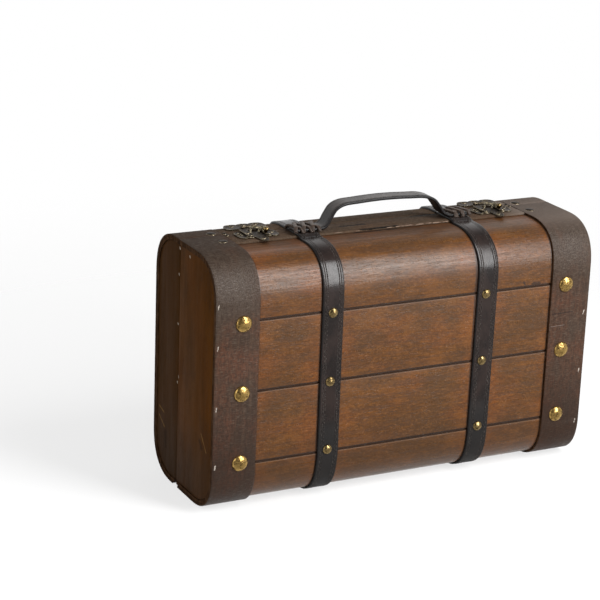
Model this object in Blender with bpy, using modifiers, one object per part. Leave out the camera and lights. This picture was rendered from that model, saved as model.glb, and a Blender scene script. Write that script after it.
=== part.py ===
"""A wooden suitcase box: two bent-plywood halves hinged along the bottom, with bands, straps and latches.

Metres, +Z up. The case stands on its long hinge side: X is its width, the front faces -Y, and the
origin is on the ground under the middle. Run it with blender --background --python part.py.
"""
from math import asin, cos, pi, sin

import bmesh
import bpy
from mathutils import Matrix, Vector

# The case as a whole
CASE_WIDTH = 0.405
CASE_HEIGHT = 0.247
FRONT_HALF_DEPTH = 0.0845
BACK_HALF_DEPTH = 0.0535
SEAM_GAP = 0.0008
SEAM_FLAT = 0.0075
CORNER_REACH = 0.046
CORNER_POWER_SHARE = 2.5
CORNER_STEPS = 12

# Clearances: between pieces that rest on each other, and between pieces that turn on each other
REST_GAP = 0.0003
TURN_GAP = 0.0003
WELD_GAP = 0.00001

# Bent plywood skins, with grooves that make each face look like four planks
SKIN_THICKNESS = 0.003
GROOVE_HEIGHT_SHARES = (0.199, 0.484, 0.763)
GROOVE_WIDTH = 0.0022
GROOVE_FLOOR_WIDTH = 0.001
GROOVE_DEPTH = 0.0014
SKIN_HINGE_SETBACK = 0.0027

# End panels and the boards that stiffen the rim
END_PANEL_THICKNESS = 0.009
END_PANEL_INSET = 0.0013
SKIN_END_INSET = 0.0005
RIM_BOARD_WIDTH = 0.020
RIM_BOARD_THICKNESS = 0.010

# Stained bands round both ends, and the flat strips along the top seam
BAND_WIDTH = 0.044
BAND_THICKNESS = 0.0022
BAND_HINGE_SETBACK = 0.006
EDGE_STRIP_WIDTH = 0.0275

# Leather straps and the carrying handle
STRAP_WIDTH = 0.022
STRAP_THICKNESS = 0.0018
STRAP_SETBACK = 0.0755
STRAP_STEP_LENGTH = 0.007
HANDLE_WIDTH = 0.018
HANDLE_THICKNESS = 0.0028
HANDLE_RISE = 0.0248
HANDLE_CROWN = 0.0020
HANDLE_SETBACK = 0.0155
HANDLE_FOOT_OVERHANG = 0.0115
HANDLE_LEFT_FOOT = 0.017
HANDLE_RIGHT_FOOT = 0.0085
HANDLE_LEFT_LEG_RUN = 0.024
HANDLE_RIGHT_LEG_RUN = 0.0305
HANDLE_LEG_SHARES = ((0.0, 0.0), (0.24, 0.16), (0.40, 0.47), (0.63, 0.82), (1.0, 1.0))
HANDLE_GRIP_KNOTS = 5
HANDLE_STEPS = 4

# Round-headed nails
NAIL_HEIGHT_SHARES = (0.209, 0.485, 0.759)
DOME_SIDES = 12
DOME_RINGS = 6
BAND_NAIL_RADIUS = 0.008
BAND_NAIL_RISE = 0.0036
BAND_NAIL_INSET = 0.028
STRAP_NAIL_RADIUS = 0.0049
STRAP_NAIL_RISE = 0.0026
TACK_RADIUS = 0.0046
TACK_RISE = 0.0012
TACK_INSET = 0.0345
TACK_FRONT_SETBACK = 0.0215
TACK_BACK_SETBACK = 0.0055
RIVET_RADIUS = 0.0042
RIVET_RISE = 0.0013

# Knuckles shared by the hinges and the latches
PIN_RADIUS = 0.0006
KNUCKLE_WALL = 0.0005
KNUCKLE_SIDES = 16
KNUCKLE_COUNT = 3
TAB_SIDE_INSET = 0.0002

# Butt hinges under the bottom seam
HINGE_SETBACK = 0.0335
HINGE_WIDTH = 0.032
HINGE_LEAF_REACH = 0.015
HINGE_LEAF_THICKNESS = 0.0008
HINGE_FLOOR_CLEARANCE = 0.0003

# Hasp latches over the top seam
LATCH_SETBACK = 0.030
LATCH_WIDTH = 0.042
LATCH_PLATE_THICKNESS = 0.0012
LATCH_FRONT_LENGTH = 0.020
LATCH_FRONT_SETBACK = 0.0012
LATCH_FINIAL_WIDTH = 0.011
LATCH_FINIAL_LENGTH = 0.016
LATCH_LOBE_DEPTH = 0.0022
LATCH_LOBE_STEPS = 6
LATCH_BACK_LENGTH = 0.015
LATCH_PIVOT_SETBACK = 0.0075
LATCH_PIVOT_WIDTH = 0.015
HASP_WIDTH = 0.025
HASP_THICKNESS = 0.0011
HASP_REACH = 0.0235
HASP_NECK_LENGTH = 0.0045
HASP_KNOB_RADIUS = 0.0023
HASP_KNOB_NECK_RADIUS = 0.0012
HASP_KNOB_NECK_LENGTH = 0.0012
HASP_KNOB_SETBACK = 0.0115
HASP_KNOB_STEPS = 8
STAPLE_WIDTH = 0.011
STAPLE_SPAN = 0.0100
STAPLE_RISE = 0.0080
STAPLE_THICKNESS = 0.0009
STAPLE_SETBACK = 0.0070
STAPLE_STEPS = 10
STAPLE_SIDE_CLEARANCE = 0.0006
STAPLE_END_CLEARANCE = 0.0012

# Places worked out from the sizes above
CASE_DEPTH = FRONT_HALF_DEPTH + BACK_HALF_DEPTH
SEAM_Y = (FRONT_HALF_DEPTH - BACK_HALF_DEPTH) / 2
BAND_INNER_X = CASE_WIDTH / 2 - BAND_WIDTH
BAND_NAIL_X = CASE_WIDTH / 2 - BAND_NAIL_INSET
TACK_X = CASE_WIDTH / 2 - TACK_INSET
LATCH_X = BAND_INNER_X - LATCH_SETBACK
HINGE_X = BAND_INNER_X - HINGE_SETBACK
STRAP_X = BAND_INNER_X - STRAP_SETBACK
HANDLE_Y = SEAM_Y - HANDLE_SETBACK

# Depths below the outside of the bands
SKIN_FACE = BAND_THICKNESS + REST_GAP
SKIN_BACK = SKIN_FACE + SKIN_THICKNESS
FRAME_FACE = SKIN_BACK + REST_GAP
STRAP_FACE = SKIN_FACE - REST_GAP - STRAP_THICKNESS
SEAM_EDGE = SEAM_GAP / 2
PANEL_INNER_X = CASE_WIDTH / 2 - END_PANEL_INSET - END_PANEL_THICKNESS
TOP_Z = CASE_HEIGHT - REST_GAP
STRAP_TOP_Z = TOP_Z + REST_GAP + STRAP_THICKNESS
BORE_RADIUS = PIN_RADIUS + TURN_GAP
KNUCKLE_RADIUS = BORE_RADIUS + KNUCKLE_WALL
FRONT, BACK = -1, 1
LEFT, RIGHT = -1, 1
HALF_DEPTHS = {FRONT: FRONT_HALF_DEPTH, BACK: BACK_HALF_DEPTH}


def clear_scene():
    for thing in list(bpy.data.objects):
        bpy.data.objects.remove(thing, do_unlink=True)


def new_collection(name):
    group = bpy.data.collections.new(name)
    bpy.context.scene.collection.children.link(group)
    return group


def make_material(name, colour, roughness, metallic=0.0):
    material = bpy.data.materials.new(name)
    material.use_nodes = True
    shader = material.node_tree.nodes["Principled BSDF"]
    shader.inputs["Base Color"].default_value = (*colour, 1.0)
    shader.inputs["Roughness"].default_value = roughness
    shader.inputs["Metallic"].default_value = metallic
    return material


clear_scene()
PARTS = new_collection("wooden_suitcase_box")
CUTTERS = new_collection("cutters")
PLANK_WOOD = make_material("plank_wood", (0.19, 0.075, 0.026), 0.42)
BAND_WOOD = make_material("band_wood", (0.062, 0.036, 0.025), 0.45)
PANEL_WOOD = make_material("panel_wood", (0.050, 0.021, 0.011), 0.5)
BARE_WOOD = make_material("bare_wood", (0.30, 0.17, 0.085), 0.7)
STRAP_LEATHER = make_material("strap_leather", (0.022, 0.017, 0.016), 0.45)
NAIL_BRASS = make_material("nail_brass", (0.60, 0.42, 0.14), 0.25, 1.0)
OLD_BRONZE = make_material("old_bronze", (0.16, 0.13, 0.09), 0.4, 1.0)


def add_part(name, data, material, location=(0.0, 0.0, 0.0), rotation=(0.0, 0.0, 0.0)):
    part = bpy.data.objects.new(name, data)
    part.location = location
    part.rotation_euler = rotation
    if not data.materials:
        data.materials.append(material)
    PARTS.objects.link(part)
    return part


def flat_curve(name, loops, thickness):
    """A filled flat curve with holes, extruded to its thickness about its own plane."""
    curve = bpy.data.curves.new(name, "CURVE")
    curve.dimensions = "2D"
    curve.fill_mode = "BOTH"
    curve.extrude = thickness / 2
    for loop in loops:
        spline = curve.splines.new("POLY")
        spline.points.add(len(loop) - 1)
        for point, (across, up) in zip(spline.points, loop):
            point.co = (across, up, 0.0, 1.0)
        spline.use_cyclic_u = True
    return curve


def side_outline(name, loops, width, centre_x, material):
    """An outline drawn in Y and Z, extruded along X."""
    curve = flat_curve(name, loops, width)
    return add_part(name, curve, material, (centre_x, 0.0, 0.0), (pi / 2, 0.0, pi / 2))


def to_mesh(part):
    """Turn a curve object into a welded mesh object of the same name and place."""
    bpy.context.view_layer.update()
    shape = part.evaluated_get(bpy.context.evaluated_depsgraph_get())
    mesh = bpy.data.meshes.new_from_object(shape)
    shell = bmesh.new()
    shell.from_mesh(mesh)
    bmesh.ops.remove_doubles(shell, verts=shell.verts, dist=WELD_GAP)
    bmesh.ops.recalc_face_normals(shell, faces=shell.faces)
    shell.to_mesh(mesh)
    shell.free()
    name, place = part.name, part.matrix_world.copy()
    old = part.data
    bpy.data.objects.remove(part, do_unlink=True)
    bpy.data.curves.remove(old)
    solid = bpy.data.objects.new(name, mesh)
    PARTS.objects.link(solid)
    solid.matrix_world = place
    return solid


def boolean(target, tool, operation):
    """Join or cut the target with a tool that follows it, kept in the cutters' collection."""
    for group in list(tool.users_collection):
        group.objects.unlink(tool)
    CUTTERS.objects.link(tool)
    bpy.context.view_layer.update()
    tool.parent = target
    tool.matrix_parent_inverse = target.matrix_world.inverted()
    tool.hide_render = True
    tool.display_type = "WIRE"
    step = target.modifiers.new(tool.name, "BOOLEAN")
    step.operation = operation
    step.solver = "EXACT"
    step.object = tool


def box_mesh(name, low, high):
    mesh = bpy.data.meshes.new(name)
    shell = bmesh.new()
    size = Vector(high) - Vector(low)
    middle = (Vector(high) + Vector(low)) / 2
    bmesh.ops.create_cube(shell, size=1.0, matrix=Matrix.Translation(middle) @ Matrix.Diagonal((*size, 1.0)))
    shell.to_mesh(mesh)
    shell.free()
    return mesh


def circle(centre, radius, sides=KNUCKLE_SIDES):
    return [(centre[0] + radius * cos(2 * pi * i / sides), centre[1] + radius * sin(2 * pi * i / sides))
            for i in range(sides)]


# The outline of one half, from the top seam round to the bottom seam

def half_profile(side):
    """Points, outward normals and distances from the top seam, round one half of the case."""
    reach = min(CORNER_REACH, HALF_DEPTHS[side] - SEAM_FLAT)
    power = CORNER_POWER_SHARE
    face_y = side * CASE_DEPTH / 2
    centre_y = face_y - side * reach
    rows = [((SEAM_Y, CASE_HEIGHT), (0.0, 1.0))]
    for centre_z, up in ((CASE_HEIGHT - reach, 1), (reach, -1)):
        corner = []
        for i in range(CORNER_STEPS + 1):
            turn = pi / 2 * i / CORNER_STEPS
            out, rise = sin(turn) ** (2 / power), cos(turn) ** (2 / power)
            point = (centre_y + side * reach * out, centre_z + up * reach * rise)
            normal = Vector((side * out ** (power - 1), up * rise ** (power - 1))).normalized()
            corner.append((point, tuple(normal)))
        rows += corner if up > 0 else corner[::-1]
    rows.append(((SEAM_Y, 0.0), (0.0, -1.0)))
    distance, profile = 0.0, []
    for i, (point, normal) in enumerate(rows):
        if i:
            distance += (Vector(point) - Vector(rows[i - 1][0])).length
        profile.append((distance, Vector(point), Vector(normal)))
    return profile


PROFILES = {FRONT: half_profile(FRONT), BACK: half_profile(BACK)}
HALF_NAMES = {FRONT: "front", BACK: "back"}
SIDE_NAMES = {LEFT: "left", RIGHT: "right"}


def round_length(side):
    return PROFILES[side][-1][0]


def profile_point(side, distance, depth):
    """The point at a distance round one half, a depth below the outside of the bands."""
    profile = PROFILES[side]
    for (start, point_a, normal_a), (end, point_b, normal_b) in zip(profile, profile[1:]):
        if distance <= end:
            part = (distance - start) / (end - start)
            point = point_a.lerp(point_b, part)
            normal = normal_a.lerp(normal_b, part).normalized()
            return tuple(point - normal * depth)
    return tuple(profile[-1][1] - profile[-1][2] * depth)


def depth_at(steps, distance):
    """Depth at a distance, between the steps of a list of distances and depths."""
    for (start, depth_a), (end, depth_b) in zip(steps, steps[1:]):
        if start <= distance <= end:
            part = (distance - start) / (end - start)
            return depth_a + (depth_b - depth_a) * part
    return steps[0][1] if distance < steps[0][0] else steps[-1][1]


def layer_path(side, start, end, steps):
    distances = {start, end}
    distances.update(d for d, _point, _normal in PROFILES[side] if start < d < end)
    distances.update(d for d, _depth in steps if start < d < end)
    return [profile_point(side, d, depth_at(steps, d)) for d in sorted(distances)]


def layer(side, start, end, outer, inner):
    """The closed outline of a layer that wraps round one half between two depths."""
    return layer_path(side, start, end, outer) + layer_path(side, start, end, inner)[::-1]


def constant(depth):
    return [(0.0, depth)]


def face_distance(side, height):
    """Distance round one half to a height on its flat face."""
    profile = PROFILES[side]
    distance, point, _normal = profile[CORNER_STEPS + 1]
    return distance + point.y - height


# Wooden pieces of each half

def add_skin(side):
    """A sheet of thin plywood bent over both corners, with grooves across its face."""
    steps = [(0.0, SKIN_FACE)]
    for share in reversed(GROOVE_HEIGHT_SHARES):
        middle = face_distance(side, CASE_HEIGHT * share)
        steps += [
            (middle - GROOVE_WIDTH / 2, SKIN_FACE),
            (middle - GROOVE_FLOOR_WIDTH / 2, SKIN_FACE + GROOVE_DEPTH),
            (middle + GROOVE_FLOOR_WIDTH / 2, SKIN_FACE + GROOVE_DEPTH),
            (middle + GROOVE_WIDTH / 2, SKIN_FACE),
        ]
    end = round_length(side) - SKIN_HINGE_SETBACK
    steps.append((round_length(side), SKIN_FACE))
    outline = layer(side, SEAM_EDGE, end, steps, constant(SKIN_BACK))
    width = CASE_WIDTH - 2 * SKIN_END_INSET
    return side_outline(HALF_NAMES[side] + "_skin", [outline], width, 0.0, PLANK_WOOD)


def add_end_panels(side):
    """Solid boards that close the ends and hold the curve of the skin."""
    outline = layer_path(side, SEAM_EDGE, round_length(side) - SEAM_EDGE, constant(FRAME_FACE))
    middle = PANEL_INNER_X + END_PANEL_THICKNESS / 2
    for end in (LEFT, RIGHT):
        name = f"{HALF_NAMES[side]}_end_panel_{SIDE_NAMES[end]}"
        side_outline(name, [outline], END_PANEL_THICKNESS, end * middle, PANEL_WOOD)


def add_rim_boards(side):
    """Boards inside the skin along both seams, which take the screws of the fittings."""
    inner = constant(FRAME_FACE + RIM_BOARD_THICKNESS)
    total = round_length(side)
    width = 2 * (PANEL_INNER_X - REST_GAP)
    spans = {"top": (SEAM_EDGE, RIM_BOARD_WIDTH), "bottom": (total - RIM_BOARD_WIDTH, total - SEAM_EDGE)}
    for place, (start, end) in spans.items():
        outline = layer(side, start, end, constant(FRAME_FACE), inner)
        side_outline(f"{HALF_NAMES[side]}_rim_board_{place}", [outline], width, 0.0, BARE_WOOD)


def add_edge_strip(side):
    """A thin flat strip along the top seam, level with the bands."""
    outline = layer(side, SEAM_EDGE, EDGE_STRIP_WIDTH, constant(REST_GAP), constant(BAND_THICKNESS))
    width = 2 * (BAND_INNER_X - REST_GAP)
    side_outline(HALF_NAMES[side] + "_edge_strip", [outline], width, 0.0, BAND_WOOD)


def add_bands(side):
    """Wide bands of thin stained wood, wrapped over the skin at both ends."""
    end = round_length(side) - BAND_HINGE_SETBACK
    outline = layer(side, SEAM_EDGE, end, constant(0.0), constant(BAND_THICKNESS))
    middle = CASE_WIDTH / 2 - BAND_WIDTH / 2
    for place in (LEFT, RIGHT):
        name = f"{HALF_NAMES[side]}_band_{SIDE_NAMES[place]}"
        side_outline(name, [outline], BAND_WIDTH, place * middle, BAND_WOOD)


# Leather

def add_straps(side):
    """Straps that run from the top seam, down over the edge strip, round to the bottom."""
    end = round_length(side) - BAND_HINGE_SETBACK
    over = EDGE_STRIP_WIDTH + REST_GAP
    down = over + STRAP_STEP_LENGTH
    under = [(0.0, 0.0), (over, 0.0), (down, SKIN_FACE - REST_GAP)]
    top = [(0.0, -STRAP_THICKNESS), (over, -STRAP_THICKNESS), (down, STRAP_FACE)]
    outline = layer(side, SEAM_EDGE, end, top, under)
    for place in (LEFT, RIGHT):
        name = f"{HALF_NAMES[side]}_strap_{SIDE_NAMES[place]}"
        side_outline(name, [outline], STRAP_WIDTH, place * STRAP_X, STRAP_LEATHER)


def smooth_path(knots, steps):
    """A smooth run through the knots, with the same number of steps between each two."""
    ends = [knots[0] * 2 - knots[1], *knots, knots[-1] * 2 - knots[-2]]
    path = []
    for a, b, c, d in zip(ends, ends[1:], ends[2:], ends[3:]):
        for i in range(steps):
            t = i / steps
            path.append(0.5 * ((2 * b) + (c - a) * t + (2 * a - 5 * b + 4 * c - d) * t * t
                               + (3 * b - a - 3 * c + d) * t * t * t))
    return path + [knots[-1]]


def ribbon(path, thickness):
    """The closed outline of a strip of even thickness along a path."""
    upper, lower = [], []
    for i, point in enumerate(path):
        along = path[min(i + 1, len(path) - 1)] - path[max(i - 1, 0)]
        across = Vector((-along.y, along.x)).normalized() * thickness / 2
        upper.append(tuple(point + across))
        lower.append(tuple(point - across))
    return upper + lower[::-1]


def add_handle():
    """A flat leather handle whose feet lie on the two straps and rise into a low arch."""
    foot_z = STRAP_TOP_Z + REST_GAP + HANDLE_THICKNESS / 2
    height = CASE_HEIGHT + HANDLE_RISE - foot_z
    foot_x = STRAP_X + HANDLE_FOOT_OVERHANG
    sides = ((LEFT, HANDLE_LEFT_FOOT, HANDLE_LEFT_LEG_RUN),
             (RIGHT, HANDLE_RIGHT_FOOT, HANDLE_RIGHT_LEG_RUN))
    legs = []
    for side, foot, run in sides:
        bend_x = STRAP_X - foot
        leg = [Vector((side * (bend_x - run * along), foot_z + height * up))
               for along, up in HANDLE_LEG_SHARES]
        legs.append([Vector((side * foot_x, foot_z)), Vector((side * STRAP_X, foot_z)), *leg])
    left, right = legs[0][-1], legs[1][-1]
    shares = [i / (HANDLE_GRIP_KNOTS + 1) for i in range(1, HANDLE_GRIP_KNOTS + 1)]
    grip = [left.lerp(right, share) + Vector((0.0, HANDLE_CROWN * sin(pi * share))) for share in shares]
    knots = [*legs[0], *grip, *legs[1][::-1]]
    outline = ribbon(smooth_path(knots, HANDLE_STEPS), HANDLE_THICKNESS)
    curve = flat_curve("handle", [outline], HANDLE_WIDTH)
    return add_part("handle", curve, STRAP_LEATHER, (0.0, HANDLE_Y, 0.0), (pi / 2, 0.0, 0.0))


# Nails, tacks and rivets

def dome_mesh(name, radius, rise):
    """A domed nail head, standing on the XY plane."""
    shell = bmesh.new()
    ball = bmesh.ops.create_uvsphere(shell, u_segments=DOME_SIDES, v_segments=DOME_RINGS, radius=1.0,
                                     matrix=Matrix.Diagonal((radius, radius, rise, 1.0)))
    verts = ball["verts"]
    edges = {edge for vert in verts for edge in vert.link_edges}
    faces = {face for vert in verts for face in vert.link_faces}
    cut = bmesh.ops.bisect_plane(shell, geom=[*verts, *edges, *faces], dist=WELD_GAP,
                                 plane_co=(0.0, 0.0, 0.0), plane_no=(0.0, 0.0, 1.0), clear_inner=True)
    rim = [item for item in cut["geom_cut"] if isinstance(item, bmesh.types.BMEdge)]
    bmesh.ops.contextual_create(shell, geom=rim)
    bmesh.ops.recalc_face_normals(shell, faces=shell.faces)
    mesh = bpy.data.meshes.new(name)
    shell.to_mesh(mesh)
    shell.free()
    mesh.shade_smooth()
    mesh.set_sharp_from_angle(angle=pi / 4)
    return mesh


def add_front_nails():
    """Three large nails in each band and three small ones in each strap, near the grooves."""
    big = dome_mesh("band_nail", BAND_NAIL_RADIUS, BAND_NAIL_RISE)
    small = dome_mesh("strap_nail", STRAP_NAIL_RADIUS, STRAP_NAIL_RISE)
    rows = (("band", big, BAND_NAIL_X, -REST_GAP), ("strap", small, STRAP_X, STRAP_FACE - REST_GAP))
    for kind, mesh, x, depth in rows:
        y = -CASE_DEPTH / 2 + depth
        for end in (LEFT, RIGHT):
            for level, share in zip(("low", "middle", "high"), NAIL_HEIGHT_SHARES):
                name = f"{kind}_nail_{SIDE_NAMES[end]}_{level}"
                place = (end * x, y, CASE_HEIGHT * share)
                add_part(name, mesh, NAIL_BRASS, place, (pi / 2, 0.0, 0.0))


def add_tacks():
    """One low, dark nail head in the top of each band, on both sides of the seam."""
    mesh = dome_mesh("tack", TACK_RADIUS, TACK_RISE)
    for side, setback in ((FRONT, TACK_FRONT_SETBACK), (BACK, TACK_BACK_SETBACK)):
        for end in (LEFT, RIGHT):
            place = (end * TACK_X, SEAM_Y + side * setback, CASE_HEIGHT + REST_GAP)
            add_part(f"{HALF_NAMES[side]}_tack_{SIDE_NAMES[end]}", mesh, OLD_BRONZE, place)


def add_handle_rivets():
    mesh = dome_mesh("rivet", RIVET_RADIUS, RIVET_RISE)
    height = STRAP_TOP_Z + REST_GAP + HANDLE_THICKNESS + REST_GAP
    for end in (LEFT, RIGHT):
        add_part("handle_rivet_" + SIDE_NAMES[end], mesh, OLD_BRONZE, (end * STRAP_X, HANDLE_Y, height))


# Leaves with knuckles: a plate whose tabs run into rings round a pin

def knuckle_spans(width):
    """Start and end of each knuckle along a pin, with a turning gap between them."""
    pitch = (width + TURN_GAP) / KNUCKLE_COUNT
    starts = [i * pitch - width / 2 for i in range(KNUCKLE_COUNT)]
    return [(start, start + pitch - TURN_GAP) for start in starts]


def add_rings(leaf, spans, centre_x, pivot):
    """Join a ring round the pin to the leaf, at each of its spans along X."""
    for number, (start, end) in enumerate(spans):
        loops = [circle(pivot, KNUCKLE_RADIUS), circle(pivot, BORE_RADIUS, KNUCKLE_SIDES)]
        name = f"{leaf.name}_knuckle_{number}"
        ring = to_mesh(side_outline(name, loops, end - start, centre_x + (start + end) / 2, OLD_BRONZE))
        boolean(leaf, ring, "UNION")


def leaf_plate(name, outline, low_z, thickness):
    """A plate drawn in X and Y, made a mesh that can be joined to its rings."""
    curve = flat_curve(name, [outline], thickness)
    plate = add_part(name, curve, OLD_BRONZE, (0.0, 0.0, low_z + thickness / 2))
    return to_mesh(plate)


def add_pin(name, centre_x, width, pivot):
    shell = bmesh.new()
    turn = Matrix.Translation((centre_x, *pivot)) @ Matrix.Rotation(pi / 2, 4, "Y")
    bmesh.ops.create_cone(shell, cap_ends=True, segments=KNUCKLE_SIDES, radius1=PIN_RADIUS,
                          radius2=PIN_RADIUS, depth=width, matrix=turn)
    mesh = bpy.data.meshes.new(name)
    shell.to_mesh(mesh)
    shell.free()
    mesh.shade_smooth()
    mesh.set_sharp_from_angle(angle=pi / 4)
    return add_part(name, mesh, OLD_BRONZE)


def add_tabs(leaf, spans, centre_x, near_y, far_y, low_z, high_z):
    """Join a tab to the leaf for each of its rings, long enough to reach into their walls."""
    for number, (start, end) in enumerate(spans):
        left, right = centre_x + start + TAB_SIDE_INSET, centre_x + end - TAB_SIDE_INSET
        name = f"{leaf.name}_tab_{number}"
        mesh = box_mesh(name, (left, min(near_y, far_y), low_z), (right, max(near_y, far_y), high_z))
        boolean(leaf, bpy.data.objects.new(name, mesh), "UNION")


# Butt hinges

HINGE_PIVOT = (SEAM_Y, HINGE_FLOOR_CLEARANCE + KNUCKLE_RADIUS)


def hinge_leaf(side, place, spans):
    """One leaf, flat on the bottom of its half, with its knuckles at the seam."""
    centre_x = place * HINGE_X
    edge_y = SEAM_Y + side * (KNUCKLE_RADIUS + TURN_GAP)
    tip_y = SEAM_Y + side * (BORE_RADIUS + KNUCKLE_WALL / 2)
    far_y = SEAM_Y + side * HINGE_LEAF_REACH
    high_z = SKIN_FACE - REST_GAP
    low_z = high_z - HINGE_LEAF_THICKNESS
    half = HINGE_WIDTH / 2
    owner = {FRONT: "base", BACK: "lid"}[side]
    name = f"hinge_{owner}_leaf_{SIDE_NAMES[place]}"
    mesh = box_mesh(name, (centre_x - half, min(edge_y, far_y), low_z),
                    (centre_x + half, max(edge_y, far_y), high_z))
    leaf = add_part(name, mesh, OLD_BRONZE)
    add_tabs(leaf, spans, centre_x, tip_y, edge_y + side * KNUCKLE_RADIUS, low_z + TAB_SIDE_INSET / 2,
             high_z - TAB_SIDE_INSET / 2)
    add_rings(leaf, spans, centre_x, HINGE_PIVOT)


def add_hinges():
    spans = knuckle_spans(HINGE_WIDTH)
    for place in (LEFT, RIGHT):
        hinge_leaf(FRONT, place, [spans[0], spans[2]])
        hinge_leaf(BACK, place, [spans[1]])
        add_pin(f"hinge_pin_{SIDE_NAMES[place]}", place * HINGE_X, HINGE_WIDTH, HINGE_PIVOT)


# Hasp latches

PLATE_Z = TOP_Z + REST_GAP
HASP_Z = PLATE_Z + LATCH_PLATE_THICKNESS + REST_GAP
LATCH_PIVOT = (SEAM_Y + LATCH_PIVOT_SETBACK, HASP_Z + KNUCKLE_RADIUS)
STAPLE_Y = SEAM_Y - STAPLE_SETBACK


def lobed_side(start, end, reaches):
    """Points from start to end along a side, with a rounded lobe standing out for each reach."""
    start, end = Vector(start), Vector(end)
    along = (end - start) / len(reaches)
    out = Vector((along.y, -along.x)).normalized()
    points = []
    for i, reach in enumerate(reaches):
        for step in range(LATCH_LOBE_STEPS):
            turn = pi * step / LATCH_LOBE_STEPS
            points.append(tuple(start + along * (i + (1 - cos(turn)) / 2) + out * reach * sin(turn)))
    return points


def latch_front_plate(place):
    """The plate on the front half, with lobed edges and a long rounded finial in front."""
    x, half = place * LATCH_X, LATCH_WIDTH / 2 - LATCH_LOBE_DEPTH
    back_y = SEAM_Y - LATCH_FRONT_SETBACK
    front_y = back_y - LATCH_FRONT_LENGTH + LATCH_LOBE_DEPTH
    finial = LATCH_FINIAL_WIDTH / 2
    lobe = LATCH_LOBE_DEPTH
    outline = [
        *lobed_side((x - half, back_y), (x - half, front_y), [lobe]),
        *lobed_side((x - half, front_y), (x - finial, front_y), [lobe, lobe]),
        *lobed_side((x - finial, front_y), (x + finial, front_y), [LATCH_FINIAL_LENGTH]),
        *lobed_side((x + finial, front_y), (x + half, front_y), [lobe, lobe]),
        *lobed_side((x + half, front_y), (x + half, back_y), [lobe]),
        (x + half, back_y),
    ]
    name = "latch_front_plate_" + SIDE_NAMES[place]
    curve = flat_curve(name, [outline], LATCH_PLATE_THICKNESS)
    add_part(name, curve, OLD_BRONZE, (0.0, 0.0, PLATE_Z + LATCH_PLATE_THICKNESS / 2))


def latch_staple(place):
    """An arched loop of flat metal that stands on the front plate, open along X for a padlock."""
    base_z = PLATE_Z + LATCH_PLATE_THICKNESS + REST_GAP
    outer, inner = [], []
    for i in range(STAPLE_STEPS + 1):
        turn = pi * i / STAPLE_STEPS
        half, rise = STAPLE_SPAN / 2, STAPLE_RISE
        outer.append((STAPLE_Y + half * cos(turn), base_z + rise * sin(turn)))
        half, rise = half - STAPLE_THICKNESS, rise - STAPLE_THICKNESS
        inner.append((STAPLE_Y + half * cos(turn), base_z + rise * sin(turn)))
    name = "latch_staple_" + SIDE_NAMES[place]
    side_outline(name, [outer + inner[::-1]], STAPLE_WIDTH, place * LATCH_X, OLD_BRONZE)


def latch_back_plate(place, spans):
    """The plate on the back half, with lobed edges and the outer knuckles of the hasp's pivot."""
    x, half = place * LATCH_X, LATCH_WIDTH / 2 - LATCH_LOBE_DEPTH
    lobe = LATCH_LOBE_DEPTH
    near_y = LATCH_PIVOT[0] + KNUCKLE_RADIUS + TURN_GAP
    far_y = near_y + LATCH_BACK_LENGTH - lobe
    outline = [
        *lobed_side((x + half, near_y), (x + half, far_y), [lobe]),
        *lobed_side((x + half, far_y), (x - half, far_y), [lobe, lobe, lobe]),
        *lobed_side((x - half, far_y), (x - half, near_y), [lobe]),
        (x - half, near_y),
    ]
    name = "latch_back_plate_" + SIDE_NAMES[place]
    plate = leaf_plate(name, outline, PLATE_Z, LATCH_PLATE_THICKNESS)
    tip_y = LATCH_PIVOT[0] + BORE_RADIUS + KNUCKLE_WALL / 2
    add_tabs(plate, spans, x, tip_y, near_y + KNUCKLE_RADIUS, PLATE_Z + LATCH_PLATE_THICKNESS / 2,
             LATCH_PIVOT[1])
    add_rings(plate, spans, x, LATCH_PIVOT)


def add_hasp(place, span):
    """The swinging fork: a middle knuckle, a short neck and two prongs beside the staple."""
    x = place * LATCH_X
    tip_y = LATCH_PIVOT[0] - BORE_RADIUS - KNUCKLE_WALL / 2
    shoulder_y = LATCH_PIVOT[0] - HASP_NECK_LENGTH
    front_y = LATCH_PIVOT[0] - HASP_REACH
    slot_y = STAPLE_Y + STAPLE_SPAN / 2 + STAPLE_END_CLEARANCE
    slot = STAPLE_WIDTH / 2 + STAPLE_SIDE_CLEARANCE
    half = HASP_WIDTH / 2
    prong = half - slot
    neck_left, neck_right = x + span[0] + TAB_SIDE_INSET, x + span[1] - TAB_SIDE_INSET
    outline = [
        (neck_left, tip_y), (neck_left, shoulder_y), (x - half, shoulder_y),
        *lobed_side((x - half, front_y), (x - half + prong, front_y), [prong / 2]),
        (x - slot, front_y), (x - slot, slot_y), (x + slot, slot_y),
        *lobed_side((x + slot, front_y), (x + half, front_y), [prong / 2]),
        (x + half, front_y), (x + half, shoulder_y), (neck_right, shoulder_y), (neck_right, tip_y),
    ]
    hasp = leaf_plate("hasp_" + SIDE_NAMES[place], outline, HASP_Z, HASP_THICKNESS)
    add_rings(hasp, [span], x, LATCH_PIVOT)


def knob_mesh():
    """A small ball on a neck, turned about Z and standing on the XY plane."""
    radius, neck = HASP_KNOB_RADIUS, HASP_KNOB_NECK_RADIUS
    start = asin(neck / radius)
    centre_z = HASP_KNOB_NECK_LENGTH + radius * cos(start)
    points = [(0.0, centre_z + radius)]
    for i in range(1, HASP_KNOB_STEPS + 1):
        turn = (pi - start) * i / HASP_KNOB_STEPS
        points.append((radius * sin(turn), centre_z + radius * cos(turn)))
    points += [(neck, 0.0), (0.0, 0.0)]
    mesh = bpy.data.meshes.new("hasp_knob")
    mesh.from_pydata([(x, 0.0, z) for x, z in points], [(i, i + 1) for i in range(len(points) - 1)], [])
    return mesh


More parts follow.
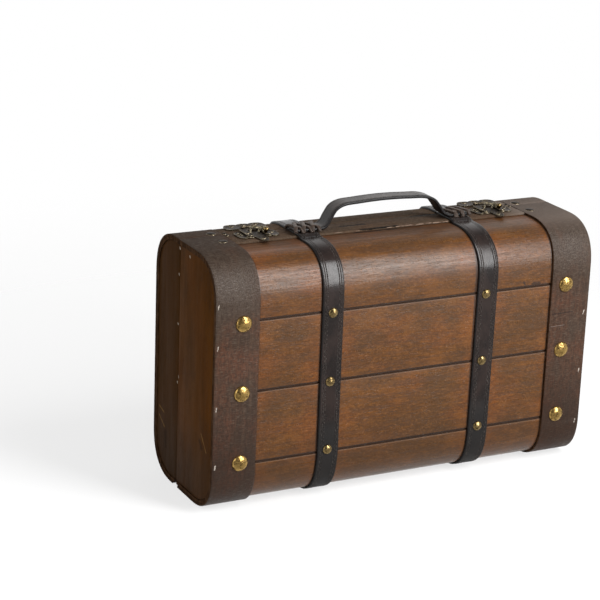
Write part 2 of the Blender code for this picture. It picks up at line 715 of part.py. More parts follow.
def add_hasp_knobs():
    """A brass knob on the right-hand prong of each hasp, to lift it by."""
    mesh = knob_mesh()
    slot = STAPLE_WIDTH / 2 + STAPLE_SIDE_CLEARANCE
    across = (slot + HASP_WIDTH / 2) / 2
    height = HASP_Z + HASP_THICKNESS + REST_GAP
    for place in (LEFT, RIGHT):
        spot = (place * LATCH_X + across, SEAM_Y - HASP_KNOB_SETBACK, height)
        knob = add_part("hasp_knob_" + SIDE_NAMES[place], mesh, NAIL_BRASS, spot)
        turned = knob.modifiers.new("turned", "SCREW")
        turned.steps = turned.render_steps = DOME_SIDES
        turned.use_merge_vertices = True
        turned.merge_threshold = WELD_GAP
        turned.use_smooth_shade = True


def add_latches():
    spans = knuckle_spans(LATCH_PIVOT_WIDTH)
    for place in (LEFT, RIGHT):
        latch_front_plate(place)
        latch_staple(place)
        latch_back_plate(place, [spans[0], spans[2]])
        add_hasp(place, spans[1])
        add_pin("latch_pin_" + SIDE_NAMES[place], place * LATCH_X, LATCH_PIVOT_WIDTH, LATCH_PIVOT)
    add_hasp_knobs()


# What the lid and the hasps turn about

def parts_named(*starts):
    return [part for part in PARTS.objects if part.name.startswith(starts)]


def hang_on_axis(name, pivot, parts):
    """Parent the pieces of one moving body to an empty on its axis, where they are."""
    axis = bpy.data.objects.new(name, None)
    axis.location = pivot
    axis.empty_display_size = KNUCKLE_RADIUS
    PARTS.objects.link(axis)
    for part in parts:
        part.parent = axis
        part.matrix_parent_inverse = Matrix.Translation(pivot).inverted()
    return axis


def hang_moving_bodies():
    hasp_axes = []
    for place in (LEFT, RIGHT):
        end = SIDE_NAMES[place]
        parts = parts_named("hasp_" + end, "hasp_knob_" + end)
        hasp_axes.append(hang_on_axis("hasp_axis_" + end, (place * LATCH_X, *LATCH_PIVOT), parts))
    lid = parts_named("back_", "hinge_lid_", "latch_back_", "latch_pin_")
    hang_on_axis("lid_axis", (0.0, *HINGE_PIVOT), [*lid, *hasp_axes])


for half_side in (FRONT, BACK):
    add_skin(half_side)
    add_end_panels(half_side)
    add_rim_boards(half_side)
    add_edge_strip(half_side)
    add_bands(half_side)
    add_straps(half_side)
add_front_nails()
add_tacks()
add_handle()
add_handle_rivets()
add_hinges()
add_latches()
hang_moving_bodies()
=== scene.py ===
from bisect import bisect_right
from contextlib import contextmanager
from math import cos, pi, radians, sin

import bmesh
import bpy
from mathutils import Matrix, Vector


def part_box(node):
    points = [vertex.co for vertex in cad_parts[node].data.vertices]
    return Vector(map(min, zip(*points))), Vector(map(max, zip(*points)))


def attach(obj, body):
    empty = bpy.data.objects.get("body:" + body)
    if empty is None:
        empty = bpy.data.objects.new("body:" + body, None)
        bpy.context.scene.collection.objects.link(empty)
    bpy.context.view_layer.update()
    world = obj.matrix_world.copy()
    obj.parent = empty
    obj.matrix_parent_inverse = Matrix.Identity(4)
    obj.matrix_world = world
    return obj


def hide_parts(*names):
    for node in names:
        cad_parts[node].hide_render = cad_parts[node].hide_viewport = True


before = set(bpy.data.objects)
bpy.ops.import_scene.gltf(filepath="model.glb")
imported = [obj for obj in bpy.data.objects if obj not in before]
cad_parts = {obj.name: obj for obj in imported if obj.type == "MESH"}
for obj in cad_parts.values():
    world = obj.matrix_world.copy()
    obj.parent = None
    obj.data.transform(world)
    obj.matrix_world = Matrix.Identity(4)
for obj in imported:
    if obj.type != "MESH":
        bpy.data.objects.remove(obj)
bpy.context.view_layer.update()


# The camera stands at the front left of the case, a little above it, with a long lens.
CAMERA_PLACE = Vector((-0.93516, -1.64117, 0.77568))
CAMERA_FORWARD = Vector((0.43876, 0.84451, -0.30707)).normalized()
CAMERA_UP = Vector((0.10689, 0.29024, 0.95097))

camera_data = bpy.data.cameras.new("camera")
camera_data.lens = 122.18
camera_data.sensor_width = 36.0
camera = bpy.data.objects.new("camera", camera_data)
camera_right = CAMERA_FORWARD.cross(CAMERA_UP).normalized()
camera_up = camera_right.cross(CAMERA_FORWARD)
camera_turn = Matrix((camera_right, camera_up, -CAMERA_FORWARD)).transposed()
camera.matrix_world = Matrix.Translation(CAMERA_PLACE) @ camera_turn.to_4x4()
bpy.context.scene.collection.objects.link(camera)
bpy.context.scene.camera = camera
bpy.context.scene.view_settings.view_transform = "Standard"


# The studio: one tall soft light at the front right, a weak one at the left, and an even white
# room. The floor is pale, takes the shadow near the case, and fades into the white further out;
# light passes it, so a part that swings below it is lit and shows through.
STUDIO_MIDDLE = Vector((0.0, 0.0, 0.12))
FLOOR_SIZE = 8.0
FLOOR_DROP = 0.0002
FLOOR_COLOUR = (0.86, 0.86, 0.86, 1.0)
FLOOR_GLOW = 0.36
FLOOR_SEEN_SHARE = 0.5
FLOOR_MIRRORED_SHARE = 0.2
FLOOR_MIRROR_LOSS = 0.62
FLOOR_FADE = (0.3, 1.1)
ROOM_LIGHT = 0.30
CEILING_SHARE = 0.25
CAMERA_SIDE_SHARE = 0.12
WHITE = (1.0, 1.0, 1.0, 1.0)


def soft_light(name, direction, distance, width, height, power):
    """A flat soft light that faces the case from a direction."""
    lamp = bpy.data.lights.new(name, "AREA")
    lamp.shape = "RECTANGLE"
    lamp.size = width
    lamp.size_y = height
    lamp.energy = power
    light = bpy.data.objects.new(name, lamp)
    away = Vector(direction).normalized()
    light.location = STUDIO_MIDDLE + away * distance
    light.rotation_euler = away.to_track_quat("Z", "Y").to_euler()
    bpy.context.scene.collection.objects.link(light)


soft_light("tall_softbox", (0.40, -0.77, 0.50), 1.8, 0.6, 1.9, 43.0)
soft_light("left_reflector", (-0.90, -0.35, 0.45), 2.0, 1.4, 1.4, 6.0)


def is_socket(value):
    return isinstance(value, bpy.types.NodeSocket)


def put(socket, value):
    """Links a socket to another one, or sets it to a value."""
    if is_socket(value):
        socket.id_data.links.new(value, socket)
    else:
        socket.default_value = value


def add_node(tree, kind, inputs=(), **settings):
    """A shader node with its settings made and its sockets filled."""
    made = tree.nodes.new("ShaderNode" + kind)
    for name, value in settings.items():
        setattr(made, name, value)
    for name, value in dict(inputs).items():
        put(made.inputs[name], value)
    return made


def join_node(kind, inputs, **settings):
    """A node in the tree of the sockets that feed it."""
    tree = next(value.id_data for value in inputs.values() if is_socket(value))
    return add_node(tree, kind, inputs, **settings)


def calculate(operation, first, second=0.0, clamped=False):
    return join_node("Math", {0: first, 1: second}, operation=operation, use_clamp=clamped).outputs[0]


def times(first, second):
    return calculate("MULTIPLY", first, second)


def most(first, second):
    return calculate("MAXIMUM", first, second)


def between(share, low, high, start=0.0, stop=1.0, way="LINEAR"):
    """Goes from low to high while the share goes from start to stop."""
    return join_node("MapRange", {"Value": share, "From Min": start, "From Max": stop, "To Min": low,
                                  "To Max": high}, interpolation_type=way).outputs[0]


def ramp(value, start, stop, low=0.0, high=1.0):
    """A soft step from one value to another."""
    return between(value, low, high, start, stop, "SMOOTHSTEP")


def axis_of(place, axis):
    return join_node("SeparateXYZ", {0: place}).outputs[axis]


def object_place_of(tree):
    return add_node(tree, "TexCoord").outputs["Object"]


def studio_room():
    """White where it is seen; mirrored, its ceiling and the side behind the camera are darker."""
    made = bpy.data.worlds.new("studio_room")
    made.use_nodes = True
    tree = made.node_tree
    tree.nodes.clear()
    path = add_node(tree, "LightPath").outputs
    way = add_node(tree, "TexCoord").outputs["Generated"]
    height = axis_of(way, "Z")
    spread = times(calculate("GREATER_THAN", height, 0.0), ROOM_LIGHT)
    mirrored = times(ramp(height, 0.50, 0.85, 1.0, CEILING_SHARE),
                     ramp(axis_of(way, "Y"), -0.80, -0.15, CAMERA_SIDE_SHARE, 1.0))
    seen = most(path["Is Camera Ray"], path["Is Transmission Ray"])
    strength = between(seen, between(path["Is Glossy Ray"], spread, mirrored), 1.0)
    shader = add_node(tree, "Background", {"Color": WHITE, "Strength": strength})
    add_node(tree, "OutputWorld", {"Surface": shader.outputs[0]})
    return made


def pale_floor():
    """Matt and a little glowing where it is seen; clear far out, in mirrors and for the lamps."""
    made = bpy.data.materials.new("pale_floor")
    made.use_nodes = True
    tree = made.node_tree
    tree.nodes.clear()
    path = add_node(tree, "LightPath").outputs
    seen = most(path["Is Camera Ray"], times(path["Is Glossy Ray"], FLOOR_MIRRORED_SHARE))
    seen = most(seen, path["Is Transmission Ray"])
    matt = add_node(tree, "BsdfDiffuse", {"Color": FLOOR_COLOUR})
    glow = add_node(tree, "Emission", {"Color": WHITE, "Strength": times(seen, FLOOR_GLOW)})
    lit = add_node(tree, "AddShader", {0: matt.outputs[0], 1: glow.outputs[0]})
    clear = add_node(tree, "BsdfTransparent")
    reach = join_node("VectorMath", {0: object_place_of(tree)}, operation="LENGTH").outputs["Value"]
    share = between(path["Is Camera Ray"], 1.0, ramp(reach, *FLOOR_FADE, FLOOR_SEEN_SHARE, 0.0))
    lets_light = times(calculate("SUBTRACT", 1.0, path["Is Shadow Ray"]),
                       calculate("SUBTRACT", 1.0, times(path["Is Glossy Ray"], FLOOR_MIRROR_LOSS)))
    mixed = add_node(tree, "MixShader", {0: times(share, lets_light), 1: clear.outputs[0],
                                         2: lit.outputs[0]})
    add_node(tree, "OutputMaterial", {"Surface": mixed.outputs[0]})
    return made


bpy.context.scene.world = studio_room()
bpy.ops.object.select_all(action="DESELECT")
bpy.ops.mesh.primitive_plane_add(size=FLOOR_SIZE, location=(0.0, 0.0, -FLOOR_DROP))
floor = bpy.context.object
floor.name = "floor"
floor.data.materials.append(pale_floor())


# The skins of both halves: one sheet of thin plywood each, stained orange brown. The grooves are
# cut across while the sheet is flat, and then it is bent over the top and bottom corners.
CASE_WIDTH = 0.405
CASE_HEIGHT = 0.247
CASE_DEPTH = 0.138
SEAM_Y = 0.0155
SEAM_EDGE = 0.0004
CORNER_REACH = 0.046
CORNER_POWER = 2.5
CORNER_STEPS = 24
FRONT, BACK = -1, 1
LEFT, RIGHT = -1, 1
HALVES = ((FRONT, "front", "base"), (BACK, "back", "lid"))
ENDS = ((LEFT, "left"), (RIGHT, "right"))
NEAR = 0.00001
SKIN_DEPTH = 0.0025
SKIN_THICKNESS = 0.003
SKIN_WIDTH = CASE_WIDTH - 0.001
SKIN_HINGE_TRIM = 0.0027
SKIN_CUTS_ACROSS = 15
GROOVE_HEIGHT_SHARES = (0.199, 0.484, 0.763)
GROOVE_HALF_WIDTH = 0.0011
GROOVE_FLOOR_HALF_WIDTH = 0.0005
GROOVE_DEPTH = 0.0014
PLANK_EDGE_WIDTH = 0.0016
PLANK_EDGE_DROP = 0.0002
PANEL_INSET = 0.0013
LIP_X = CASE_WIDTH / 2 - PANEL_INSET - 0.001
BAND_WIDTH = 0.044
STRAP_WIDTH = 0.022
STRAP_X = 0.083
SKIN_TOP_Z = CASE_HEIGHT - SKIN_DEPTH
# Painted shadow: a dark line on the skin just in front of the front strip's edge.
SKIN_STRIP_SHADOW_LINES = [((-0.034, -0.0137, SKIN_TOP_Z), (0.012, -0.0136, SKIN_TOP_Z))]
SKIN_FACE_Y = SKIN_DEPTH - CASE_DEPTH / 2
SKIN_SMEARS = [((0.1270, SKIN_FACE_Y, 0.1935), (0.1285, SKIN_FACE_Y, 0.1912)),
               ((0.1370, SKIN_FACE_Y, 0.1912), (0.1450, SKIN_FACE_Y, 0.1908))]


def take(*pieces):
    """Makes the pieces the ones that the next tools work on."""
    bpy.ops.object.select_all(action="DESELECT")
    for piece in pieces:
        piece.select_set(True)
    if pieces:
        bpy.context.view_layer.objects.active = pieces[0]


def named(name):
    """Names the piece that was made last."""
    piece = bpy.context.object
    piece.name = piece.data.name = name
    return piece


@contextmanager
def editing(piece):
    """Edit mode on one piece, with all of it selected."""
    take(piece)
    bpy.ops.object.mode_set(mode="EDIT")
    bpy.ops.mesh.select_all(action="SELECT")
    yield
    bpy.ops.object.mode_set(mode="OBJECT")


def choose(piece, kind, test):
    """In edit mode, selects vertices, edges or faces by their middle and their direction."""
    bpy.ops.mesh.select_mode(type=kind)
    bpy.ops.mesh.select_all(action="DESELECT")
    shell = bmesh.from_edit_mesh(piece.data)
    if kind == "VERT":
        for vert in shell.verts:
            vert.select_set(bool(test(vert.co, vert.normal)))
    elif kind == "EDGE":
        for edge in shell.edges:
            start, end = (vert.co for vert in edge.verts)
            edge.select_set(bool(test((start + end) / 2, (end - start).normalized())))
    else:
        for face in shell.faces:
            face.select_set(bool(test(face.calc_center_median(), face.normal)))
    shell.select_flush_mode()
    bmesh.update_edit_mesh(piece.data)


def block(name, size, middle=(0.0, 0.0, 0.0)):
    """A box of a size round its middle."""
    take()
    bpy.ops.mesh.primitive_cube_add(size=1.0, location=middle)
    piece = named(name)
    piece.scale = size
    bpy.ops.object.transform_apply(location=True, rotation=True, scale=True)
    return piece


def flat_board(name, width, start, end, top, thickness):
    """A flat board: X across it, Y along it and Z through it, with its upper face at top."""
    return block(name, (width, end - start, thickness), (0.0, (start + end) / 2, top - thickness / 2))


def cut_lines(piece, places, axis):
    """Cuts the whole piece at each place along an axis."""
    facing = Vector([float(one == axis) for one in "XYZ"])
    with editing(piece):
        for place in places:
            bpy.ops.mesh.select_all(action="SELECT")
            bpy.ops.mesh.bisect(plane_co=facing * place, plane_no=facing)


def equal_cuts(width, count):
    return [width * (i / count - 0.5) for i in range(1, count)]


def move_where(piece, test, by):
    """Moves the vertices that pass the test."""
    with editing(piece):
        choose(piece, "VERT", test)
        bpy.ops.transform.translate(value=by)


def spare_copy(piece, name):
    made = piece.copy()
    made.data = piece.data.copy()
    made.name = made.data.name = name
    bpy.context.scene.collection.objects.link(made)
    return made


def note(piece, name, kind, value_of):
    """Keeps a value at each vertex, for the piece's material."""
    noted = piece.data.attributes.new(name, kind, "POINT")
    for vertex, kept in zip(piece.data.vertices, noted.data):
        setattr(kept, "vector" if kind == "FLOAT_VECTOR" else "value", value_of(vertex.co))


def note_flat_place(piece, seed):
    """Keeps where each vertex was while the piece lay flat, for the pattern of its material."""
    note(piece, "flat_place", "FLOAT_VECTOR", lambda co: (co.x, co.y, co.z + seed))


def with_distances(rows):
    """A line to lay pieces along: how far each row is from the start, and the rows."""
    distances = [0.0]
    for (before, _a), (after, _b) in zip(rows, rows[1:]):
        distances.append(distances[-1] + (after - before).length)
    return distances, rows


def case_line(side):
    """The line round one half, outside its bands, from the top seam: places and outward directions."""
    centre_y = side * (CASE_DEPTH / 2 - CORNER_REACH)
    rows = [(Vector((0.0, SEAM_Y, CASE_HEIGHT)), Vector((0.0, 0.0, 1.0)))]
    for centre_z, up in ((CASE_HEIGHT - CORNER_REACH, 1), (CORNER_REACH, -1)):
        corner = []
        for step in range(CORNER_STEPS + 1):
            turn = pi / 2 * step / CORNER_STEPS
            out, rise = sin(turn) ** (2 / CORNER_POWER), cos(turn) ** (2 / CORNER_POWER)
            place = Vector((0.0, centre_y + side * CORNER_REACH * out, centre_z + up * CORNER_REACH * rise))
            outward = Vector((0.0, side * out ** (CORNER_POWER - 1), up * rise ** (CORNER_POWER - 1)))
            corner.append((place, outward.normalized()))
        rows += corner if up > 0 else corner[::-1]
    rows.append((Vector((0.0, SEAM_Y, 0.0)), Vector((0.0, 0.0, -1.0))))
    return with_distances(rows)


CASE_LINES = {side: case_line(side) for side, _name, _body in HALVES}


def bend_places(side, start, end):
    """Where a flat piece needs a cut, so that it can follow the corners."""
    return [distance for distance in CASE_LINES[side][0] if start < distance < end]


def face_place(side, height):
    """How far round one half a height on its flat face is."""
    distances, rows = CASE_LINES[side]
    return distances[CORNER_STEPS + 1] + rows[CORNER_STEPS + 1][0].z - height


def lay_along(piece, line, across, offset):
    """Lays a flat piece along a line: its X goes across, its Y along and its Z outwards."""
    distances, rows = line
    for vertex in piece.data.vertices:
        over, along, out = vertex.co
        row = min(max(bisect_right(distances, along) - 1, 0), len(rows) - 2)
        share = (along - distances[row]) / (distances[row + 1] - distances[row])
        place = rows[row][0].lerp(rows[row + 1][0], share)
        outward = rows[row][1].lerp(rows[row + 1][1], share).normalized()
        vertex.co = Vector(offset) + place + Vector(across) * over + outward * out
    with editing(piece):
        bpy.ops.mesh.normals_make_consistent(inside=False)


def lay_round_case(piece, side, middle_x=0.0):
    lay_along(piece, CASE_LINES[side], (1.0, 0.0, 0.0), (middle_x, 0.0, 0.0))


def coat(piece, *materials):
    for material in materials:
        piece.data.materials.append(material)


def fit(piece, body, replaced=(), smooth=40.0):
    """Fixes a finished piece to the body it moves with."""
    take(piece)
    bpy.ops.object.shade_smooth_by_angle(angle=radians(smooth))
    piece.matrix_world = Matrix.Identity(4)
    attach(piece, body)
    if replaced:
        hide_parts(*replaced)


def new_group(name, inputs, outputs):
    """An empty shader node group with named sockets."""
    tree = bpy.data.node_groups.new(name, "ShaderNodeTree")
    for label, value in inputs.items():
        kind = "NodeSocketVector" if isinstance(value, tuple) else "NodeSocketFloat"
        tree.interface.new_socket(name=label, in_out="INPUT", socket_type=kind).default_value = value
    for label in outputs:
        tree.interface.new_socket(name=label, in_out="OUTPUT", socket_type="NodeSocketFloat")
    return tree, tree.nodes.new("NodeGroupInput").outputs, tree.nodes.new("NodeGroupOutput").inputs


def plus(first, second):
    return calculate("ADD", first, second)


def vectors(operation, first, second):
    return join_node("VectorMath", {0: first, 1: second}, operation=operation).outputs


def noise(place, size, detail=4.0, rough=0.5):
    """Noise over a place that is stretched by a size, from 0 to 1."""
    if isinstance(size, float):
        size = (size, size, size)
    return join_node("TexNoise", {"Vector": vectors("MULTIPLY", place, size)[0], "Scale": 1.0,
                                  "Detail": detail, "Roughness": rough}).outputs["Fac"]


def mix_colour(share, first, second):
    """From one colour to another; a colour is a socket or three numbers."""
    first, second = (colour if is_socket(colour) else (*colour, 1.0) for colour in (first, second))
    return join_node("Mix", {0: share, 6: first, 7: second}, data_type="RGBA").outputs[2]


def layers(colour, *coats):
    """Lays coats over a colour, each with its share and its own colour."""
    for share, coat in coats:
        colour = mix_colour(share, colour, coat)
    return colour


def wood_figure_group():
    """Wood figure that runs along X: fine streaks, wide patches, short dark pores and its relief."""
    tree, given, result = new_group(
        "wood_figure", {"Place": (0.0, 0.0, 0.0), "Streak Size": (9.0, 300.0, 300.0),
                        "Patch Size": (13.0, 24.0, 24.0), "Pore Size": (110.0, 1500.0, 1500.0)},
        ["Streaks", "Patches", "Pores", "Relief"])
    place = given["Place"]
    streaks = noise(place, given["Streak Size"], 5.0, 0.62)
    pores = ramp(noise(place, given["Pore Size"], 2.0), 0.56, 0.72)
    put(result["Streaks"], ramp(streaks, 0.30, 0.70))
    put(result["Patches"], ramp(noise(place, given["Patch Size"], 3.0, 0.55), 0.36, 0.66))
    put(result["Pores"], pores)
    put(result["Relief"], calculate("SUBTRACT", streaks, times(pores, 0.6)))
    return tree


def mark_line_group():
    """A mask that is one near a short line and falls to nothing at a width from it."""
    tree, given, result = new_group(
        "mark_line", {"Place": (0.0, 0.0, 0.0), "Start": (0.0, 0.0, 0.0), "End": (0.0, 0.0, 0.01),
                      "Width": 0.001}, ["Mask"])
    from_start = vectors("SUBTRACT", given["Place"], given["Start"])[0]
    line = vectors("SUBTRACT", given["End"], given["Start"])[0]
    along = calculate("DIVIDE", vectors("DOT_PRODUCT", from_start, line)["Value"],
                      vectors("DOT_PRODUCT", line, line)["Value"], clamped=True)
    nearest = join_node("VectorMath", {0: line, "Scale": along}, operation="SCALE").outputs[0]
    apart = vectors("DISTANCE", from_start, nearest)["Value"]
    put(result["Mask"], between(apart, 1.0, 0.0, 0.0, given["Width"]))
    return tree


WOOD_FIGURE = wood_figure_group()
MARK_LINE = mark_line_group()


def wood_figure(place, **sizes):
    given = {name.replace("_", " ").title(): size for name, size in sizes.items()}
    return join_node("Group", {"Place": place, **given}, node_tree=WOOD_FIGURE).outputs


def marks(tree, lines, width, breakup=700.0):
    """The scratches or chips of a material: a mask round each line, with torn borders."""
    place = object_place_of(tree)
    mask = 0.0
    for start, end in lines:
        one = join_node("Group", {"Place": place, "Start": start, "End": end, "Width": width},
                        node_tree=MARK_LINE)
        mask = most(one.outputs["Mask"], mask)
    torn = ramp(noise(place, breakup, 3.0, 0.6), 0.3, 0.7, 0.15, 0.75)
    return ramp(calculate("SUBTRACT", mask, torn), -0.05, 0.10)


def new_material(name, gloss, metallic=0.0):
    """A material and its nodes."""
    material = bpy.data.materials.new(name)
    material.use_nodes = True
    shader = material.node_tree.nodes["Principled BSDF"]
    shader.inputs["Specular IOR Level"].default_value = gloss
    shader.inputs["Metallic"].default_value = metallic
    return material, material.node_tree


def finished(material, colour, rough, height, depth):
    """Gives a material its colour, its roughness and its fine relief, with a depth in metres."""
    sockets = material.node_tree.nodes["Principled BSDF"].inputs
    put(sockets["Base Color"], colour)
    put(sockets["Roughness"], rough)
    bump = join_node("Bump", {"Height": height, "Distance": depth, "Strength": 1.0})
    put(sockets["Normal"], bump.outputs[0])
    return material


def kept(tree, name, output):
    """What a piece keeps at each vertex."""
    return add_node(tree, "Attribute", attribute_name=name).outputs[output]


def flat_place_of(tree):
    return kept(tree, "flat_place", "Vector")


def plank_wood_material():
    """Lacquered orange brown stain, redder beside the straps and the bands and greyer between, with dark
    grooves, painted shadow lines beside the straps and bands, a painted highlight under each groove and
    painted shade on the top at the left.
    """
    material, tree = new_material("plank_wood", 0.40)
    place = flat_place_of(tree)
    figure = wood_figure(place)
    along, over = axis_of(place, "Y"), axis_of(place, "X")
    across = calculate("ABSOLUTE", over)
    from_strap = calculate("ABSOLUTE", calculate("SUBTRACT", across, STRAP_X))
    strap_edge, band_edge = STRAP_WIDTH / 2, CASE_WIDTH / 2 - BAND_WIDTH
    beside = most(ramp(from_strap, strap_edge, strap_edge + 0.026, 1.0, 0.0),
                  ramp(across, band_edge - 0.024, band_edge))
    warm = plus(noise(place, (17.0, 31.0, 11.0), 3.0, 0.55), times(beside, 0.16))
    warm = plus(warm, ramp(over, -0.100, -0.060, 0.07, 0.0))
    fibre = noise(place, (70.0, 1300.0, 1300.0), 2.0)
    speckle = noise(place, (330.0, 620.0, 620.0), 3.0, 0.65)
    cloudy = noise(place, (34.0, 62.0, 34.0), 3.0, 0.55)
    # Painted shadow: a dark line on the skin right beside each strap and band, where they shade it.
    painted_edge_shadow = most(ramp(from_strap, strap_edge, strap_edge + 0.0018, 1.0, 0.0),
                 ramp(across, band_edge - 0.0024, band_edge - 0.0006))
    stain = most(ramp(kept(tree, "stain", "Fac"), 0.45, 0.95), times(painted_edge_shadow, 0.95))
    # The flat top at the left is rougher, and painted darker as painted shade.
    matt_top_and_painted_shade = times(ramp(along, 0.036, 0.058, 1.0, 0.0), ramp(over, 0.060, 0.130, 1.0, 0.45))
    colour = layers(
        mix_colour(figure["Streaks"], (0.088, 0.030, 0.005), (0.140, 0.051, 0.008)),
        (ramp(warm, 0.44, 0.80, 0.0, 0.8), (0.196, 0.056, 0.0065)),
        (times(figure["Patches"], calculate("SUBTRACT", 0.62, times(beside, 0.40))), (0.094, 0.040, 0.0085)),
        (ramp(fibre, 0.35, 0.65, 0.5, 0.0), (0.052, 0.021, 0.006)),
        (times(figure["Pores"], 0.4), (0.034, 0.015, 0.006)),
        (ramp(speckle, 0.38, 0.50, 0.45, 0.0), (0.050, 0.021, 0.006)),
        (ramp(speckle, 0.53, 0.66, 0.0, 0.33), (0.25, 0.105, 0.028)),
        (ramp(cloudy, 0.36, 0.52, 0.34, 0.0), (0.058, 0.027, 0.0085)),
        (ramp(cloudy, 0.52, 0.68, 0.0, 0.26), (0.215, 0.078, 0.012)),
        (times(ramp(along, 0.232, 0.280), 0.40), (0.045, 0.018, 0.005)),
        # Painted shadow in front of the front strip's edge.
        (marks(tree, SKIN_STRIP_SHADOW_LINES, 0.0024), (0.006, 0.004, 0.003)),
        (times(marks(tree, SKIN_SMEARS, 0.0022, 500.0), 0.75), (0.020, 0.012, 0.009)),
        # Painted highlight along the upper edge of the plank below each groove.
        (ramp(kept(tree, "painted_lip_highlight", "Fac"), 0.1, 0.5, 0.0, 0.42), (0.24, 0.130, 0.070)),
        # The dark grooves, and the painted shadow lines beside the straps and bands.
        (times(stain, 0.85), (0.022, 0.012, 0.008)),
        (times(matt_top_and_painted_shade, 0.35), (0.030, 0.014, 0.006)))
    sanding = noise(place, (1100.0, 40.0, 1100.0), 2.0)
    rough = ramp(plus(figure["Streaks"], times(sanding, 0.8)), 0.4, 1.4, 0.40, 0.27)
    return finished(material, colour, plus(rough, times(matt_top_and_painted_shade, 0.40)),
                    plus(figure["Relief"], times(sanding, 0.5)), 0.00010)


def plain_material(name, gloss, size, detail_and_rough, low, high, dark, light, rough, depth,
                   place_of=object_place_of):
    """A dull finish: one noise that goes from a dark colour to a light one and is also its relief."""
    material, tree = new_material(name, gloss)
    tone = noise(place_of(tree), size, *detail_and_rough)
    return finished(material, mix_colour(ramp(tone, low, high), dark, light), rough, tone, depth)


def bare_wood_material():
    material, tree = new_material("bare_wood", 0.15)
    figure = wood_figure(object_place_of(tree), streak_size=(7.0, 200.0, 200.0))
    colour = layers(mix_colour(figure["Streaks"], (0.23, 0.125, 0.058), (0.36, 0.215, 0.112)),
                    (times(figure["Patches"], 0.3), (0.25, 0.12, 0.05)),
                    (times(figure["Pores"], 0.4), (0.10, 0.05, 0.025)))
    return finished(material, colour, 0.72, figure["Relief"], 0.0003)


PLANK_WOOD = plank_wood_material()
BARE_WOOD = bare_wood_material()
# Dark stain is brushed over the cut ends of the skin and the bands.
END_STAIN = plain_material("end_stain", 0.01, (300.0, 300.0, 90.0), (4.0, 0.6), 0.35, 0.65,
                           (0.030, 0.014, 0.006), (0.082, 0.042, 0.021), 0.7, 0.0002)


def cut_grooves(skin, side):
    """Cuts the grooves that make the face look like four planks, and eases the planks' edges."""
    half, floor_half = GROOVE_HALF_WIDTH, GROOVE_FLOOR_HALF_WIDTH
    middles = [face_place(side, CASE_HEIGHT * share) for share in GROOVE_HEIGHT_SHARES]
    reaches = (-half - PLANK_EDGE_WIDTH, -half, -floor_half, floor_half, half, half + PLANK_EDGE_WIDTH)
    cut_lines(skin, [middle + reach for middle in middles for reach in reaches], "Y")
    top = -SKIN_DEPTH - NEAR
    for reach, above, drop in ((half, top, PLANK_EDGE_DROP),
                               (floor_half, top - PLANK_EDGE_DROP, GROOVE_DEPTH - PLANK_EDGE_DROP)):
        for middle in middles:
            move_where(skin, lambda co, _n: co.z > above and abs(co.y - middle) < reach + NEAR,
                       (0.0, 0.0, -drop))
    note(skin, "stain", "FLOAT",
         lambda co: float(any(abs(co.y - middle) < half + NEAR for middle in middles)))
    # Marks the upper edge of the plank below each groove, for a painted highlight.
    note(skin, "painted_lip_highlight", "FLOAT",
         lambda co: float(any(abs(co.y - middle - half) < NEAR for middle in middles)))


for side, half_name, body in HALVES:
    skin_end = CASE_LINES[side][0][-1] - SKIN_HINGE_TRIM
    skin = flat_board(f"{half_name}_plank_skin", SKIN_WIDTH, SEAM_EDGE, skin_end, -SKIN_DEPTH, SKIN_THICKNESS)
    cut_lines(skin, bend_places(side, SEAM_EDGE, skin_end), "Y")
    cut_lines(skin, equal_cuts(SKIN_WIDTH, SKIN_CUTS_ACROSS), "X")
    cut_lines(skin, [-LIP_X, LIP_X], "X")
    cut_grooves(skin, side)
    coat(skin, PLANK_WOOD, BARE_WOOD, END_STAIN)
    for face in skin.data.polygons:
        inside = face.normal.z < -0.5
        lip = inside and abs(face.center.x) > LIP_X
        face.material_index = 2 if abs(face.normal.x) > 0.5 or lip else int(inside)
    note_flat_place(skin, 0.31 * (side + 2))
    lay_round_case(skin, side)
    fit(skin, body, [f"{half_name}_skin"])


# The end panels: solid boards, stained nearly black brown, that close both ends and hold the curve
# of the skin. Each half has its own, so the seam runs down the end as a dark line.
FRAME_DEPTH = 0.0058
PANEL_THICKNESS = 0.009
PANEL_CORNER_PROFILE = 0.5743
PANEL_ROUNDING = 0.0004
PANEL_X = CASE_WIDTH / 2 - PANEL_INSET
PANEL_CHIPS = (
    (LEFT, 0.0163, 0.2376), (LEFT, -0.0068, 0.2357), (LEFT, 0.0171, 0.2121), (LEFT, 0.0173, 0.1635),
    (LEFT, 0.0141, 0.1118), (LEFT, 0.0163, 0.1054), (RIGHT, 0.0171, 0.1920), (RIGHT, 0.0145, 0.0870))
PANEL_SCRATCHES = (
    (LEFT, (0.0585, 0.0581), (0.0457, 0.0501)), (LEFT, (-0.0398, 0.0736), (-0.0518, 0.0590)),
    (LEFT, (0.0585, 0.0675), (0.0469, 0.0642)), (RIGHT, (-0.0200, 0.1500), (-0.0330, 0.1370)))
PANEL_SMUDGES = ((LEFT, (-0.0368, 0.0659), (-0.0415, 0.0595)), (LEFT, (0.0422, 0.0463), (0.0422, 0.0317)))


def swap_axes(place, order):
    """The place with its X, Y and Z put in another order."""
    return join_node("CombineXYZ", {i: axis_of(place, axis) for i, axis in enumerate(order)}).outputs[0]


